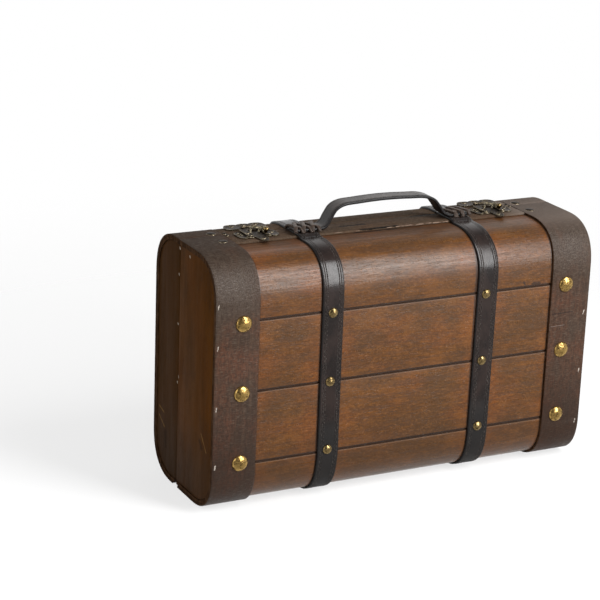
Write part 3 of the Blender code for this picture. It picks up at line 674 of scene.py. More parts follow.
def panel_wood_material():
    """Dull dark stain with a few knocks; the boards of the back half are painted darker, as painted shade."""
    material, tree = new_material("panel_wood", 0.01)
    true_place = object_place_of(tree)
    place = swap_axes(true_place, "ZYX")
    figure = wood_figure(place, streak_size=(11.0, 150.0, 150.0), patch_size=(9.0, 30.0, 30.0))
    blotches = noise(place, (19.0, 46.0, 46.0), 3.0, 0.6)
    back_half_shade = calculate("GREATER_THAN", axis_of(true_place, "Y"), SEAM_Y)
    smudges, scratches = ([((end * PANEL_X, *first), (end * PANEL_X, *last)) for end, first, last in lines]
                          for lines in (PANEL_SMUDGES, PANEL_SCRATCHES))
    chips = [((end * PANEL_X, y, z - 0.0008), (end * PANEL_X, y + 0.0005, z + 0.0008))
             for end, y, z in PANEL_CHIPS]
    colour = layers(
        mix_colour(figure["Streaks"], (0.078, 0.0275, 0.0048), (0.095, 0.034, 0.0060)),
        (times(figure["Patches"], 0.4), (0.074, 0.031, 0.006)),
        (ramp(blotches, 0.36, 0.52, 0.40, 0.0), (0.046, 0.0195, 0.0055)),
        (ramp(blotches, 0.52, 0.68, 0.0, 0.20), (0.120, 0.043, 0.0065)),
        # Painted shade: the boards of the back half are darker.
        (times(back_half_shade, 0.60), (0.032, 0.015, 0.0045)),
        (ramp(axis_of(true_place, "Z"), 0.020, 0.095, 0.50, 0.0), (0.038, 0.023, 0.014)),
        (times(figure["Pores"], 0.4), (0.018, 0.008, 0.003)),
        (times(marks(tree, smudges, 0.0040, 300.0), 0.6), (0.018, 0.008, 0.003)),
        (times(marks(tree, scratches, 0.0012, 500.0), 0.8), (0.21, 0.115, 0.038)),
        (marks(tree, chips, 0.0012), (0.48, 0.41, 0.34)))
    rough = ramp(figure["Streaks"], 0.0, 1.0, 0.55, 0.42)
    return finished(material, colour, rough, figure["Relief"], 0.00025)


PANEL_WOOD = panel_wood_material()

for side, half_name, body in HALVES:
    for end, end_name in ENDS:
        outer_x, inner_x = end * PANEL_X, end * PANEL_X - end * PANEL_THICKNESS
        seam_y = SEAM_Y + side * SEAM_EDGE
        face_y = side * (CASE_DEPTH / 2 - FRAME_DEPTH)
        low_z, high_z = FRAME_DEPTH, CASE_HEIGHT - FRAME_DEPTH
        panel = block(f"{half_name}_end_board_{end_name}",
                      (PANEL_THICKNESS, abs(face_y - seam_y), high_z - low_z),
                      ((outer_x + inner_x) / 2, (seam_y + face_y) / 2, (low_z + high_z) / 2))
        with editing(panel):
            choose(panel, "EDGE", lambda co, way: abs(way.x) > 0.9 and abs(co.y - face_y) < 0.001)
            bpy.ops.mesh.bevel(offset=CORNER_REACH - FRAME_DEPTH, segments=CORNER_STEPS, affect="EDGES",
                               profile=PANEL_CORNER_PROFILE)
            choose(panel, "EDGE", lambda co, way: abs(co.x - outer_x) < 0.0001 and abs(way.x) < 0.1)
            bpy.ops.mesh.bevel(offset=PANEL_ROUNDING, segments=2, affect="EDGES")
        coat(panel, PANEL_WOOD, BARE_WOOD)
        for face in panel.data.polygons:
            face.material_index = int(face.normal.x * end < -0.9)
        fit(panel, body, [f"{half_name}_end_panel_{end_name}"])


# The rim boards: bare pine boards glued inside the skin along both seams, which hold the rim
# straight and take the screws of the hinges and the latches.
RIM_ROUNDING = 0.0008


def ease_edges(piece, width, steps=2):
    """Rounds all the sharp edges of a piece."""
    take(piece)
    eased = piece.modifiers.new("eased", "BEVEL")
    eased.limit_method = "ANGLE"
    eased.angle_limit = radians(35.0)
    eased.width = width
    eased.segments = steps
    bpy.ops.object.modifier_apply(modifier=eased.name)


def worked_copy(node, name, rounding=0.0):
    """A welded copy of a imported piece, with its sharp edges rounded."""
    piece = spare_copy(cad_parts[node], name)
    for mark in [mark for mark in piece.keys() if mark.startswith("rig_")]:
        del piece[mark]
    piece.parent = None
    with editing(piece):
        bpy.ops.mesh.remove_doubles(threshold=NEAR)
        bpy.ops.mesh.dissolve_limited(angle_limit=radians(1.0))
        bpy.ops.mesh.normals_make_consistent(inside=False)
    piece.data.materials.clear()
    if rounding:
        ease_edges(piece, rounding)
    return piece


def fit_worked_copy(node, name, rounding, material, body):
    piece = worked_copy(node, name, rounding)
    coat(piece, material)
    fit(piece, body, [node])


for _side, half_name, body in HALVES:
    for level in ("top", "bottom"):
        fit_worked_copy(f"{half_name}_rim_board_{level}", f"{half_name}_rim_rail_{level}", RIM_ROUNDING,
                        BARE_WOOD, body)


# The bands: wide strips of thin wood, stained grey brown, bent over the skin round both ends and
# nailed down. The flat strips beside the seam on top are the same wood and as thick.
BAND_THICKNESS = 0.0022
BAND_HINGE_TRIM = 0.006
BAND_ROUNDING = 0.0005
BAND_X = CASE_WIDTH / 2 - BAND_WIDTH / 2
STRIP_END = 0.0275
STRIP_WIDTH = CASE_WIDTH - 2 * BAND_WIDTH - 0.0006
REST_GAP = 0.0003
CHIP_INSETS = {LEFT: 0.0027, RIGHT: 0.0044}
CHIP_HALF_WIDTH = 0.0006
CHIP_LENGTH = 0.0050
CHIP_DEPTH = 0.0004
BAND_CHIPS = {(FRONT, LEFT): (0.2060, 0.1665, 0.1075, 0.0505), (FRONT, RIGHT): (0.156, 0.095, 0.041),
              (BACK, LEFT): (0.172, 0.071), (BACK, RIGHT): (0.189, 0.112)}
BAND_CHIP_LINES = [[(end * (CASE_WIDTH / 2 - CHIP_INSETS[end]) + way * 0.0003, side * CASE_DEPTH / 2,
                     height + way * 0.0019) for way in (-1, 1)]
                   for (side, end), heights in BAND_CHIPS.items() for height in heights]
BAND_SCRATCHES = [((0.1610, -CASE_DEPTH / 2, 0.1578), (0.1845, -CASE_DEPTH / 2, 0.1580))]
BAND_SCRAPES = [((0.1605, -CASE_DEPTH / 2, 0.1449), (0.1760, -CASE_DEPTH / 2, 0.1452))]
# Cracks in the top of the strips, and a painted shadow line along the seam gap.
STRIP_CRACKS_AND_SEAM_SHADOW = [((-0.026, -0.0114, CASE_HEIGHT), (0.013, -0.0112, CASE_HEIGHT)),
                ((0.043, 0.0136, CASE_HEIGHT), (0.072, 0.0122, CASE_HEIGHT)),
                ((-0.041, 0.0042, CASE_HEIGHT), (-0.014, 0.0036, CASE_HEIGHT))]


def rubbed_edges_group():
    """Where an edge stands out and gets rubbed, broken up by noise."""
    tree, given, result = new_group(
        "rubbed_edges", {"Place": (0.0, 0.0, 0.0), "Reach": 0.0006, "Breakup Size": (250.0, 250.0, 250.0),
                         "Breakup": 0.5}, ["Mask"])
    rounded = add_node(tree, "Bevel", {"Radius": given["Reach"]}, samples=6).outputs[0]
    surface = add_node(tree, "NewGeometry").outputs["Normal"]
    edge = ramp(vectors("DOT_PRODUCT", rounded, surface)["Value"], 0.995, 0.90)
    low = times(given["Breakup"], 0.7)
    broken = between(noise(given["Place"], given["Breakup Size"], 3.0, 0.6), 0.0, 1.0, low, plus(low, 0.18))
    put(result["Mask"], times(edge, broken))
    return tree


RUBBED_EDGES = rubbed_edges_group()


def rubbed_edges(place, reach, breakup, size):
    return join_node("Group", {"Place": place, "Reach": reach, "Breakup": breakup, "Breakup Size": size},
                     node_tree=RUBBED_EDGES).outputs["Mask"]


def band_wood_material(name, grain_order, dark, light, red, grey, knocks_and_shadow_lines, knock_and_shadow_width, knock_and_shadow_colour):
    """Thin wood under a dull grey brown stain, mottled, with fine brush marks across the grain, a painted
    sheen on the bend and a lighter painted sheen on the top at the right end.
    """
    material, tree = new_material(name, 0.17)
    flat_place = flat_place_of(tree)
    place = swap_axes(flat_place, grain_order)
    figure = wood_figure(place, streak_size=(16.0, 300.0, 300.0), patch_size=(26.0, 34.0, 34.0))
    along = axis_of(flat_place, "Y")
    upper = ramp(along, 0.105, 0.155, 1.0, 0.0)
    at_right = ramp(axis_of(object_place_of(tree), "X"), 0.125, 0.160)
    reddish = most(times(figure["Patches"], ramp(upper, 0.0, 1.0, 0.8, 0.25)),
                   times(at_right, ramp(upper, 0.0, 1.0, 0.30, 0.0)))
    dust = plus(noise(place, (19.0, 29.0, 29.0), 4.0, 0.6), times(upper, 0.14))
    mottle = noise(place, (300.0, 520.0, 520.0), 4.0, 0.65)
    brushing = noise(place, (1250.0, 170.0, 170.0), 3.0, 0.6)
    brushed = ramp(brushing, 0.50, 0.70)
    grain = ramp(noise(place, (90.0, 1250.0, 1250.0), 2.0), 0.50, 0.70)
    # Painted sheen on the bend: pale ticks where the light is mirrored.
    painted_bend_sheen = ramp(noise(place, (760.0, 1300.0, 1300.0), 3.0, 0.6), 0.46, 0.64)
    at_bend = times(ramp(along, 0.060, 0.078), ramp(along, 0.098, 0.125, 0.30, 0.0))
    rub = rubbed_edges(place, 0.0007, 0.55, (160.0, 160.0, 160.0))
    colour = layers(
        mix_colour(ramp(figure["Streaks"], -0.4, 1.4), dark, light),
        (reddish, red),
        (ramp(dust, 0.46, 0.68, 0.0, 0.75), grey),
        (ramp(mottle, 0.36, 0.60, 0.7, 0.0), dark),
        (times(figure["Pores"], 0.3), (0.020, 0.014, 0.011)),
        (times(brushed, 0.26), (0.20, 0.16, 0.125)),
        (times(grain, 0.40), dark),
        (times(ramp(along, 0.190, 0.270), 0.62), (0.020, 0.011, 0.007)),
        (times(painted_bend_sheen, at_bend), (0.21, 0.18, 0.16)),
        # Painted sheen: the top at the right end is lighter, as if more light fell there.
        (times(at_right, ramp(along, 0.046, 0.078, 0.62, 0.0)), (0.21, 0.168, 0.142)),
        (times(rub, 0.25), (0.17, 0.12, 0.09)),
        (times(marks(tree, BAND_SCRATCHES, 0.0010), 0.7), (0.018, 0.010, 0.008)),
        (times(marks(tree, BAND_SCRAPES, 0.0008), 0.5), (0.19, 0.150, 0.130)),
        # Chips in the bands; in the strips, cracks and a painted shadow along the seam gap.
        (marks(tree, knocks_and_shadow_lines, knock_and_shadow_width), knock_and_shadow_colour))
    dusty = ramp(along, 0.045, 0.085, 1.0, 0.0)
    rough = plus(ramp(brushed, 0.0, 1.0, 0.50, 0.32), times(dusty, 0.36))
    return finished(material, colour, rough, plus(times(figure["Relief"], 0.5), brushing), 0.00020)


BAND_WOOD = band_wood_material("band_wood", "YXZ", (0.034, 0.019, 0.012), (0.080, 0.045, 0.027),
                               (0.108, 0.038, 0.018), (0.052, 0.037, 0.026),
                               BAND_CHIP_LINES, 0.0010, (0.40, 0.35, 0.30))
STRIP_WOOD = band_wood_material("strip_wood", "XYZ", (0.050, 0.029, 0.016), (0.130, 0.074, 0.043),
                                (0.116, 0.058, 0.031), (0.092, 0.062, 0.040),
                                STRIP_CRACKS_AND_SEAM_SHADOW, 0.0026, (0.004, 0.003, 0.002))


def round_edges(piece, test, width, steps=2):
    """Rounds the edges that pass the test."""
    with editing(piece):
        choose(piece, "EDGE", test)
        bpy.ops.mesh.bevel(offset=width, segments=steps, affect="EDGES", clamp_overlap=True)


def upper_edge(top):
    return lambda co, way: abs(co.z - top) < NEAR and abs(way.z) < 0.1


def chip_band(band, middle, chip_x):
    """Knocks a small chip out of a band that still lies flat, near its outer edge."""
    cuts = [middle + CHIP_LENGTH * share for share in (-0.5, -0.25, 0.25, 0.5)]
    cut_lines(band, cuts, "Y")
    move_where(band, lambda co, _n: cuts[1] - NEAR < co.y < cuts[2] + NEAR and co.z > -NEAR
               and abs(co.x - chip_x) < NEAR, (0.0, 0.0, -CHIP_DEPTH))


for side, half_name, body in HALVES:
    band_end = CASE_LINES[side][0][-1] - BAND_HINGE_TRIM
    flat_band = flat_board("flat_band", BAND_WIDTH, SEAM_EDGE, band_end, 0.0, BAND_THICKNESS)
    round_edges(flat_band, upper_edge(0.0), BAND_ROUNDING)
    cut_lines(flat_band, bend_places(side, SEAM_EDGE, band_end), "Y")
    coat(flat_band, BAND_WOOD, END_STAIN)
    for face in flat_band.data.polygons:
        face.material_index = int(abs(face.normal.x) > 0.95)
    for end, end_name in ENDS:
        band = spare_copy(flat_band, f"{half_name}_wood_band_{end_name}")
        chip_x = end * (BAND_WIDTH / 2 - CHIP_INSETS[end])
        cut_lines(band, [chip_x - CHIP_HALF_WIDTH, chip_x, chip_x + CHIP_HALF_WIDTH], "X")
        for height in BAND_CHIPS[side, end]:
            chip_band(band, face_place(side, height), chip_x)
        note_flat_place(band, 0.57 * (side + 2) + 1.3 * (end + 1))
        lay_round_case(band, side, end * BAND_X)
        fit(band, body, [f"{half_name}_band_{end_name}"])
    bpy.data.objects.remove(flat_band)

    strip = flat_board(f"{half_name}_seam_strip", STRIP_WIDTH, SEAM_EDGE, STRIP_END, -REST_GAP,
                       BAND_THICKNESS - REST_GAP)
    round_edges(strip, upper_edge(-REST_GAP), BAND_ROUNDING)
    cut_lines(strip, equal_cuts(STRIP_WIDTH, SKIN_CUTS_ACROSS), "X")
    cut_lines(strip, bend_places(side, SEAM_EDGE, STRIP_END), "Y")
    coat(strip, STRIP_WOOD)
    note_flat_place(strip, 0.83 * (side + 2))
    lay_round_case(strip, side)
    fit(strip, body, [f"{half_name}_edge_strip"])


# The splinters: where the front strip is torn, a fringe of thin pale splinters stands out along
# its edge. They differ in length and thickness and lie a little askew.
SPLINTERS = ((-0.0510, 0.008, 0.5), (-0.0300, 0.005, 0.4), (0.0040, 0.006, 0.7),
             (0.0160, 0.009, 0.9), (0.0262, 0.011, 1.0), (0.0375, 0.010, 1.1), (0.0478, 0.008, 1.0),
             (0.0568, 0.009, 1.1), (0.0655, 0.008, 1.0))
SPLINTER_Y = SEAM_Y - STRIP_END - 0.0004
SPLINTER_Z = CASE_HEIGHT - 0.0011
SPLINTER_WIDTH = 0.0013
SPLINTER_HEIGHT = 0.0009
SPLINTER_ROUNDING = 0.0003


def put_at(piece, place, turn=0.0, tilt=0.0, size=(1.0, 1.0, 1.0)):
    """Sizes a piece, turns it round Z, tilts it round X, and puts it in its place."""
    turned = Matrix.Rotation(tilt, 4, "X") @ Matrix.Rotation(turn, 4, "Z")
    piece.data.transform(Matrix.Translation(place) @ turned @ Matrix.Diagonal((*size, 1.0)))
    return piece


def join_pieces(pieces, name):
    """Makes one piece of several."""
    take(*pieces)
    if len(pieces) > 1:
        bpy.ops.object.join()
    return named(name)


splinter_model = flat_board("splinter_model", 1.0, -SPLINTER_WIDTH / 2, SPLINTER_WIDTH / 2, SPLINTER_HEIGHT,
                            SPLINTER_HEIGHT)
cut_lines(splinter_model, [-0.28, 0.05, 0.33], "X")
round_edges(splinter_model, upper_edge(SPLINTER_HEIGHT), SPLINTER_ROUNDING, 1)
for reach, squeeze in ((0.45, 0.75), (0.25, 0.3)):
    for edge in (-1, 1):
        move_where(splinter_model, lambda co, _n: abs(co.x) > reach and co.y * edge > 0.0001,
                   (0.0, -edge * SPLINTER_WIDTH * 0.5 * squeeze * 0.5, 0.0))
    move_where(splinter_model, lambda co, _n: abs(co.x) > reach and co.z > SPLINTER_ROUNDING,
               (0.0, 0.0, -SPLINTER_HEIGHT * squeeze * 0.4))
splinters = []
for number, (x, length, share) in enumerate(SPLINTERS):
    place = (x, SPLINTER_Y - 0.0002 * (number % 3), SPLINTER_Z - 0.0001 * (number % 2))
    splinters.append(put_at(spare_copy(splinter_model, f"strip_splinter_{number}"), place,
                            0.05 * (number % 3 - 1), size=(length, share, share)))
bpy.data.objects.remove(splinter_model)
fringe = join_pieces(splinters, "front_strip_splinters")
coat(fringe, plain_material("raw_wood", 0.1, (160.0, 900.0, 900.0), (3.0, 0.6), 0.36, 0.62,
                            (0.085, 0.048, 0.031), (0.31, 0.225, 0.170), 0.8, 0.0003))
fit(fringe, "base")


# The straps: black leather folded over at both edges and sewn with two rows of stitches, laid over
# the seam strip and round the case, and held down by nails. The front ones lie a little crooked.
STRAP_THICKNESS = 0.0018
STRAP_STEP_START = STRIP_END + REST_GAP
STRAP_STEP_LENGTH = 0.007
STRAP_STEP_CUTS = 6
STRAP_STEP_DROP = SKIN_DEPTH - REST_GAP
STRAP_ROUNDING = 0.0007
STITCH_ROWS = (0.0082, 0.0061)
STITCH_PITCH = 0.0046
STITCH_LENGTH = 0.0032
STITCH_WIDTH = 0.0006
STITCH_SUNK = 0.00016
CHANNEL_HALF_WIDTH = 0.00045
CHANNEL_SHOULDER = 0.00018
CHANNEL_DEPTH = 0.00022
STRAP_BOWS = {(FRONT, LEFT): ((0.100, 0.0), (0.150, 0.0008), (0.225, 0.0019), (0.255, 0.0015), (0.285, 0.0)),
              (FRONT, RIGHT): ((0.060, 0.0), (0.105, 0.0018), (0.235, 0.0019), (0.285, 0.0))}


def leather_material(name, width, dark, light, rough_low, rough_high, worn=(0.16, 0.14, 0.125),
                     dark_heights=None):
    """Glazed leather, black along its painted edges and paler where they are rubbed."""
    material, tree = new_material(name, 0.34)
    place = flat_place_of(tree)
    creases = noise(place, (900.0, 350.0, 900.0), 4.0, 0.6)
    fine_place = vectors("MULTIPLY", place, (1300.0, 1300.0, 1300.0))[0]
    pebbles = join_node("TexVoronoi", {"Vector": fine_place, "Scale": 1.0}).outputs["Distance"]
    across = calculate("ABSOLUTE", axis_of(place, "X"))
    painted = ramp(across, width / 2 - 0.0015, width / 2 - 0.0006)
    foot = ramp(axis_of(place, "Y"), 0.226, 0.254)
    coats = [(painted, (0.004, 0.003, 0.003)),
             (times(rubbed_edges(place, 0.0008, 0.6, (500.0, 350.0, 500.0)), 0.45), worn),
             (times(foot, 0.8), (0.005, 0.004, 0.0035))]
    if dark_heights:
        bottom, low, high, top = dark_heights
        height = axis_of(object_place_of(tree), "Z")
        coats.append((times(ramp(height, bottom, low), ramp(height, high, top, 0.85, 0.0)),
                      (0.0055, 0.0035, 0.0038)))
    tone = noise(place, (60.0, 35.0, 60.0), 4.0, 0.6)
    colour = layers(mix_colour(ramp(tone, 0.35, 0.65), dark, light), *coats)
    rough = plus(ramp(creases, 0.3, 0.7, rough_low, rough_high), times(foot, 0.45))
    return finished(material, colour, plus(rough, times(painted, 0.12)),
                    plus(times(pebbles, 0.35), creases), 0.00005)


STRAP_LEATHER = leather_material("strap_leather", STRAP_WIDTH, (0.0105, 0.0070, 0.0062),
                                 (0.024, 0.0150, 0.0125), 0.17, 0.26)
WAXED_THREAD = plain_material("waxed_thread", 0.10, (2500.0, 900.0, 2500.0), (2.0, 0.5), 0.4, 0.65,
                              (0.009, 0.008, 0.007), (0.105, 0.090, 0.080), 0.8, 0.0001, flat_place_of)


def press_channels(strap, width_rows, top):
    """Presses the lines along each edge that the stitches lie in."""
    outer = CHANNEL_HALF_WIDTH + CHANNEL_SHOULDER
    rows = [end * row for row in width_rows for end in (-1, 1)]
    cut_lines(strap, [row + reach for row in rows
                      for reach in (-outer, -CHANNEL_HALF_WIDTH, 0.0, CHANNEL_HALF_WIDTH, outer)], "X")
    move_where(strap, lambda co, _n: co.z > top - NEAR and any(abs(co.x - row) < NEAR for row in rows),
               (0.0, 0.0, -CHANNEL_DEPTH))


def stitch_line(name, rows, start, end, top):
    """Rows of stitches along a flat strap: one stitch, repeated along and copied across."""
    first = block(name, (STITCH_WIDTH, STITCH_LENGTH, STITCH_WIDTH))
    with editing(first):
        bpy.ops.mesh.bevel(offset=STITCH_WIDTH * 0.32, segments=1, affect="EDGES")
        choose(first, "FACE", lambda co, way: abs(way.y) > 0.9)
        bpy.ops.transform.translate(value=(0.0, 0.0, -STITCH_WIDTH * 0.25))
    lines = []
    for number, row in enumerate(rows):
        for edge in (-1, 1):
            line = spare_copy(first, f"{name}_{number}_{edge}")
            put_at(line, (edge * row, start + STITCH_PITCH * (0.75 + 0.5 * number), top - STITCH_SUNK))
            take(line)
            repeat = line.modifiers.new("along", "ARRAY")
            repeat.use_relative_offset = False
            repeat.use_constant_offset = True
            repeat.constant_offset_displace = (0.0, STITCH_PITCH, 0.0)
            repeat.count = int((end - start - STITCH_PITCH) / STITCH_PITCH)
            bpy.ops.object.modifier_apply(modifier=repeat.name)
            lines.append(line)
    bpy.data.objects.remove(first)
    return join_pieces(lines, name)


def soft_step(share):
    return share * share * (3 - 2 * share)


def drop_step(piece):
    """Lowers what lies beyond the seam strip down to the skin, in a soft slope."""
    dropped = 0.0
    for cut in range(1, STRAP_STEP_CUTS + 1):
        along = cut / STRAP_STEP_CUTS
        limit = STRAP_STEP_START + STRAP_STEP_LENGTH * along
        move_where(piece, lambda co, _n: co.y > limit - NEAR,
                   (0.0, 0.0, -STRAP_STEP_DROP * (soft_step(along) - dropped)))
        dropped = soft_step(along)


def bow_sideways(piece, bow):
    """Shifts a flat piece a little sideways along its length, as it was nailed down."""
    for (start, first), (stop, last) in zip(bow, bow[1:]):
        for vertex in piece.data.vertices:
            if start < vertex.co.y <= stop:
                vertex.co.x += first + (last - first) * soft_step((vertex.co.y - start) / (stop - start))


for side, half_name, body in HALVES:
    strap_end = CASE_LINES[side][0][-1] - BAND_HINGE_TRIM
    flat_strap = flat_board("flat_strap", STRAP_WIDTH, SEAM_EDGE, strap_end, STRAP_THICKNESS, STRAP_THICKNESS)
    round_edges(flat_strap, upper_edge(STRAP_THICKNESS), STRAP_ROUNDING, 3)
    press_channels(flat_strap, STITCH_ROWS, STRAP_THICKNESS)
    cut_lines(flat_strap, [STRAP_STEP_START + STRAP_STEP_LENGTH * i / STRAP_STEP_CUTS
                           for i in range(STRAP_STEP_CUTS + 1)], "Y")
    cut_lines(flat_strap, bend_places(side, SEAM_EDGE, strap_end), "Y")
    flat_stitches = stitch_line("flat_stitches", STITCH_ROWS, SEAM_EDGE, strap_end, STRAP_THICKNESS)
    for flat_piece, material in ((flat_strap, STRAP_LEATHER), (flat_stitches, WAXED_THREAD)):
        drop_step(flat_piece)
        coat(flat_piece, material)
    for end, end_name in ENDS:
        strap = spare_copy(flat_strap, f"{half_name}_leather_strap_{end_name}")
        stitches = spare_copy(flat_stitches, f"{half_name}_strap_stitches_{end_name}")
        note_flat_place(strap, 0.37 * (side + 2) + 0.9 * (end + 1))
        note_flat_place(stitches, 0.37 * (side + 2))
        for piece, replaced, smooth in ((strap, [f"{half_name}_strap_{end_name}"], 50.0),
                                        (stitches, [], 60.0)):
            bow_sideways(piece, STRAP_BOWS.get((side, end), ()))
            lay_round_case(piece, side, end * STRAP_X)
            fit(piece, body, replaced, smooth)
    bpy.data.objects.remove(flat_strap)
    bpy.data.objects.remove(flat_stitches)


# The handle: a flat strap of the same leather, sewn along both edges. Its feet lie on the straps and
# it rises between them in a low, flat arch.
HANDLE_WIDTH = 0.018
HANDLE_THICKNESS = 0.0028
HANDLE_ROUNDING = 0.0008
HANDLE_RISE = 0.0248
HANDLE_CROWN = 0.0020
HANDLE_Y = SEAM_Y - 0.0155
HANDLE_FOOT_OVERHANG = 0.0115
HANDLE_SIDES = ((LEFT, 0.017, 0.024), (RIGHT, 0.0085, 0.0305))
HANDLE_LEG_SHARES = ((0.0, 0.0), (0.24, 0.16), (0.40, 0.47), (0.63, 0.82), (1.0, 1.0))
HANDLE_GRIP_KNOTS = 5
HANDLE_STEPS = 8
HANDLE_STITCH_ROWS = (0.0066,)
STRAP_TOP_Z = CASE_HEIGHT + STRAP_THICKNESS


def smooth_run(knots, steps):
    """A smooth run of points through the knots."""
    ends = [knots[0] * 2 - knots[1], *knots, knots[-1] * 2 - knots[-2]]
    run = []
    for a, b, c, d in zip(ends, ends[1:], ends[2:], ends[3:]):
        for i in range(steps):
            t = i / steps
            run.append(0.5 * ((2 * b) + (c - a) * t + (2 * a - 5 * b + 4 * c - d) * t * t
                              + (3 * b - a - 3 * c + d) * t * t * t))
    return run + [knots[-1]]


def line_through(points, outward_of):
    """A line to lay pieces along, whose outward side follows from its direction."""
    around = zip([points[0], *points], points, [*points[1:], points[-1]])
    return with_distances([(point, outward_of((after - before).normalized()))
                           for before, point, after in around])


def handle_line():
    """The middle line of the handle from its left foot to its right one."""
    foot_z = STRAP_TOP_Z + REST_GAP + HANDLE_THICKNESS / 2
    height = CASE_HEIGHT + HANDLE_RISE - foot_z
    legs = []
    for end, foot, run in HANDLE_SIDES:
        places = [(STRAP_X + HANDLE_FOOT_OVERHANG, 0.0), (STRAP_X, 0.0)]
        places += [(STRAP_X - foot - run * along, height * up) for along, up in HANDLE_LEG_SHARES]
        legs.append([Vector((end * x, 0.0, foot_z + rise)) for x, rise in places])
    left, right = legs[0][-1], legs[1][-1]
    shares = [i / (HANDLE_GRIP_KNOTS + 1) for i in range(1, HANDLE_GRIP_KNOTS + 1)]
    grip = [left.lerp(right, share) + Vector((0.0, 0.0, HANDLE_CROWN * sin(pi * share))) for share in shares]
    points = smooth_run([*legs[0], *grip, *legs[1][::-1]], HANDLE_STEPS)
    return line_through(points, lambda way: Vector((-way.z, 0.0, way.x)))


HANDLE_LEATHER = leather_material("handle_leather", HANDLE_WIDTH, (0.016, 0.011, 0.009),
                                  (0.052, 0.039, 0.033), 0.26, 0.40,
                                  dark_heights=(0.2515, 0.2560, 0.2640, 0.2700))
HANDLE_LINE = handle_line()
handle_length, handle_top = HANDLE_LINE[0][-1], HANDLE_THICKNESS / 2
handle = flat_board("leather_handle", HANDLE_WIDTH, 0.0, handle_length, handle_top, HANDLE_THICKNESS)
round_edges(handle, lambda co, way: abs(way.z) < 0.1, HANDLE_ROUNDING, 3)
press_channels(handle, HANDLE_STITCH_ROWS, handle_top)
cut_lines(handle, HANDLE_LINE[0][1:-1], "Y")
handle_stitches = stitch_line("handle_stitches", HANDLE_STITCH_ROWS, 0.0, handle_length, handle_top)
for piece, material, seed, replaced, smooth in ((handle, HANDLE_LEATHER, 2.1, ["handle"], 50.0),
                                                (handle_stitches, WAXED_THREAD, 2.7, [], 60.0)):
    coat(piece, material)
    note_flat_place(piece, seed)
    lay_along(piece, HANDLE_LINE, (0.0, 1.0, 0.0), (0.0, HANDLE_Y, 0.0))
    fit(piece, "base", replaced, smooth)


# The lashings: narrow leather laces, pulled over each foot of the handle and down at both sides of
# it, which tie the foot to the strap. Their edges are rubbed pale.
LACE_WIDTH = 0.0035
LACE_THICKNESS = 0.0017
LACE_ROUNDING = 0.0005
LACE_LIFT = 0.0011
LACE_STEPS = 5
LACE_PLACES = {LEFT: ((0.0082, 0.36), (0.0082, -0.36), (-0.0006, 0.38), (-0.0006, -0.38), (-0.0096, 0.36),
                      (-0.0096, -0.34)),
               RIGHT: ((0.0080, -0.36), (0.0080, 0.36), (0.0002, -0.38), (0.0002, 0.38), (-0.0056, 0.3))}


def lace_line():
    """Over a foot of the handle, from the strap in front of it to the strap behind it."""
    half = HANDLE_WIDTH / 2
    low = STRAP_TOP_Z - LACE_THICKNESS * 0.3
    high = STRAP_TOP_Z + REST_GAP + HANDLE_THICKNESS
    side_knots = ((half + 0.0029, low), (half + 0.0016, low + 0.0007), (half + 0.0005, high - 0.0012),
                  (half - 0.0014, high + 0.0001), (half * 0.35, high + 0.0002))
    knots = [Vector((0.0, -y, z)) for y, z in side_knots] + [Vector((0.0, y, z)) for y, z in side_knots[::-1]]
    return line_through(smooth_run(knots, LACE_STEPS), lambda way: Vector((0.0, -way.z, way.y)))


LACE_LINE = lace_line()
lace_model = flat_board("lace_model", LACE_WIDTH, 0.0, LACE_LINE[0][-1], LACE_THICKNESS, LACE_THICKNESS)
round_edges(lace_model, upper_edge(LACE_THICKNESS), LACE_ROUNDING, 3)
cut_lines(lace_model, LACE_LINE[0][1:-1], "Y")
coat(lace_model, leather_material(
    "lace_leather", 1.0, (0.018, 0.011, 0.008), (0.082, 0.055, 0.040), 0.40, 0.56, (0.42, 0.32, 0.26)))
note_flat_place(lace_model, 3.3)
lay_along(lace_model, LACE_LINE, (1.0, 0.0, 0.0), (0.0, 0.0, 0.0))
for end, end_name in ENDS:
    laces = [put_at(spare_copy(lace_model, f"handle_lace_{end_name}_{number}"),
                    (end * (STRAP_X + outward), HANDLE_Y, LACE_LIFT * (number % 2)), turn)
             for number, (outward, turn) in enumerate(LACE_PLACES[end])]
    fit(join_pieces(laces, f"handle_lashing_{end_name}"), "base", smooth=60.0)
bpy.data.objects.remove(lace_model)


# The nails: domed heads stamped from brass sheet, three large ones in each band and three small
# ones in each strap, near the grooves, on the front and on the back.
NAIL_HEIGHT_SHARES = {"low": 0.209, "middle": 0.485, "high": 0.759}
BAND_NAIL_RADIUS = 0.008
BAND_NAIL_RISE = 0.0036
BAND_NAIL_X = CASE_WIDTH / 2 - 0.028
STRAP_NAIL_RADIUS = 0.0049
STRAP_NAIL_RISE = 0.0026


def brass_material(name, bright, tarnished):
    """Brass sheet with dull patches, dark spots and shallow dents."""
    material, tree = new_material(name, 0.5, 1.0)
    place = object_place_of(tree)
    dull = ramp(noise(place, 330.0, 4.0, 0.6), 0.46, 0.66)
    spots = ramp(noise(place, 430.0, 3.0, 0.6), 0.55, 0.64)
    colour = layers(mix_colour(dull, bright, tarnished), (times(spots, 0.8), (0.07, 0.045, 0.018)))
    return finished(material, colour, ramp(dull, 0.0, 1.0, 0.25, 0.40), noise(place, 300.0, 2.0), 0.00045)


NAIL_BRASS = brass_material("nail_brass", (0.50, 0.322, 0.104), (0.20, 0.122, 0.041))
DULL_BRASS = brass_material("dull_brass", (0.29, 0.205, 0.088), (0.115, 0.080, 0.036))


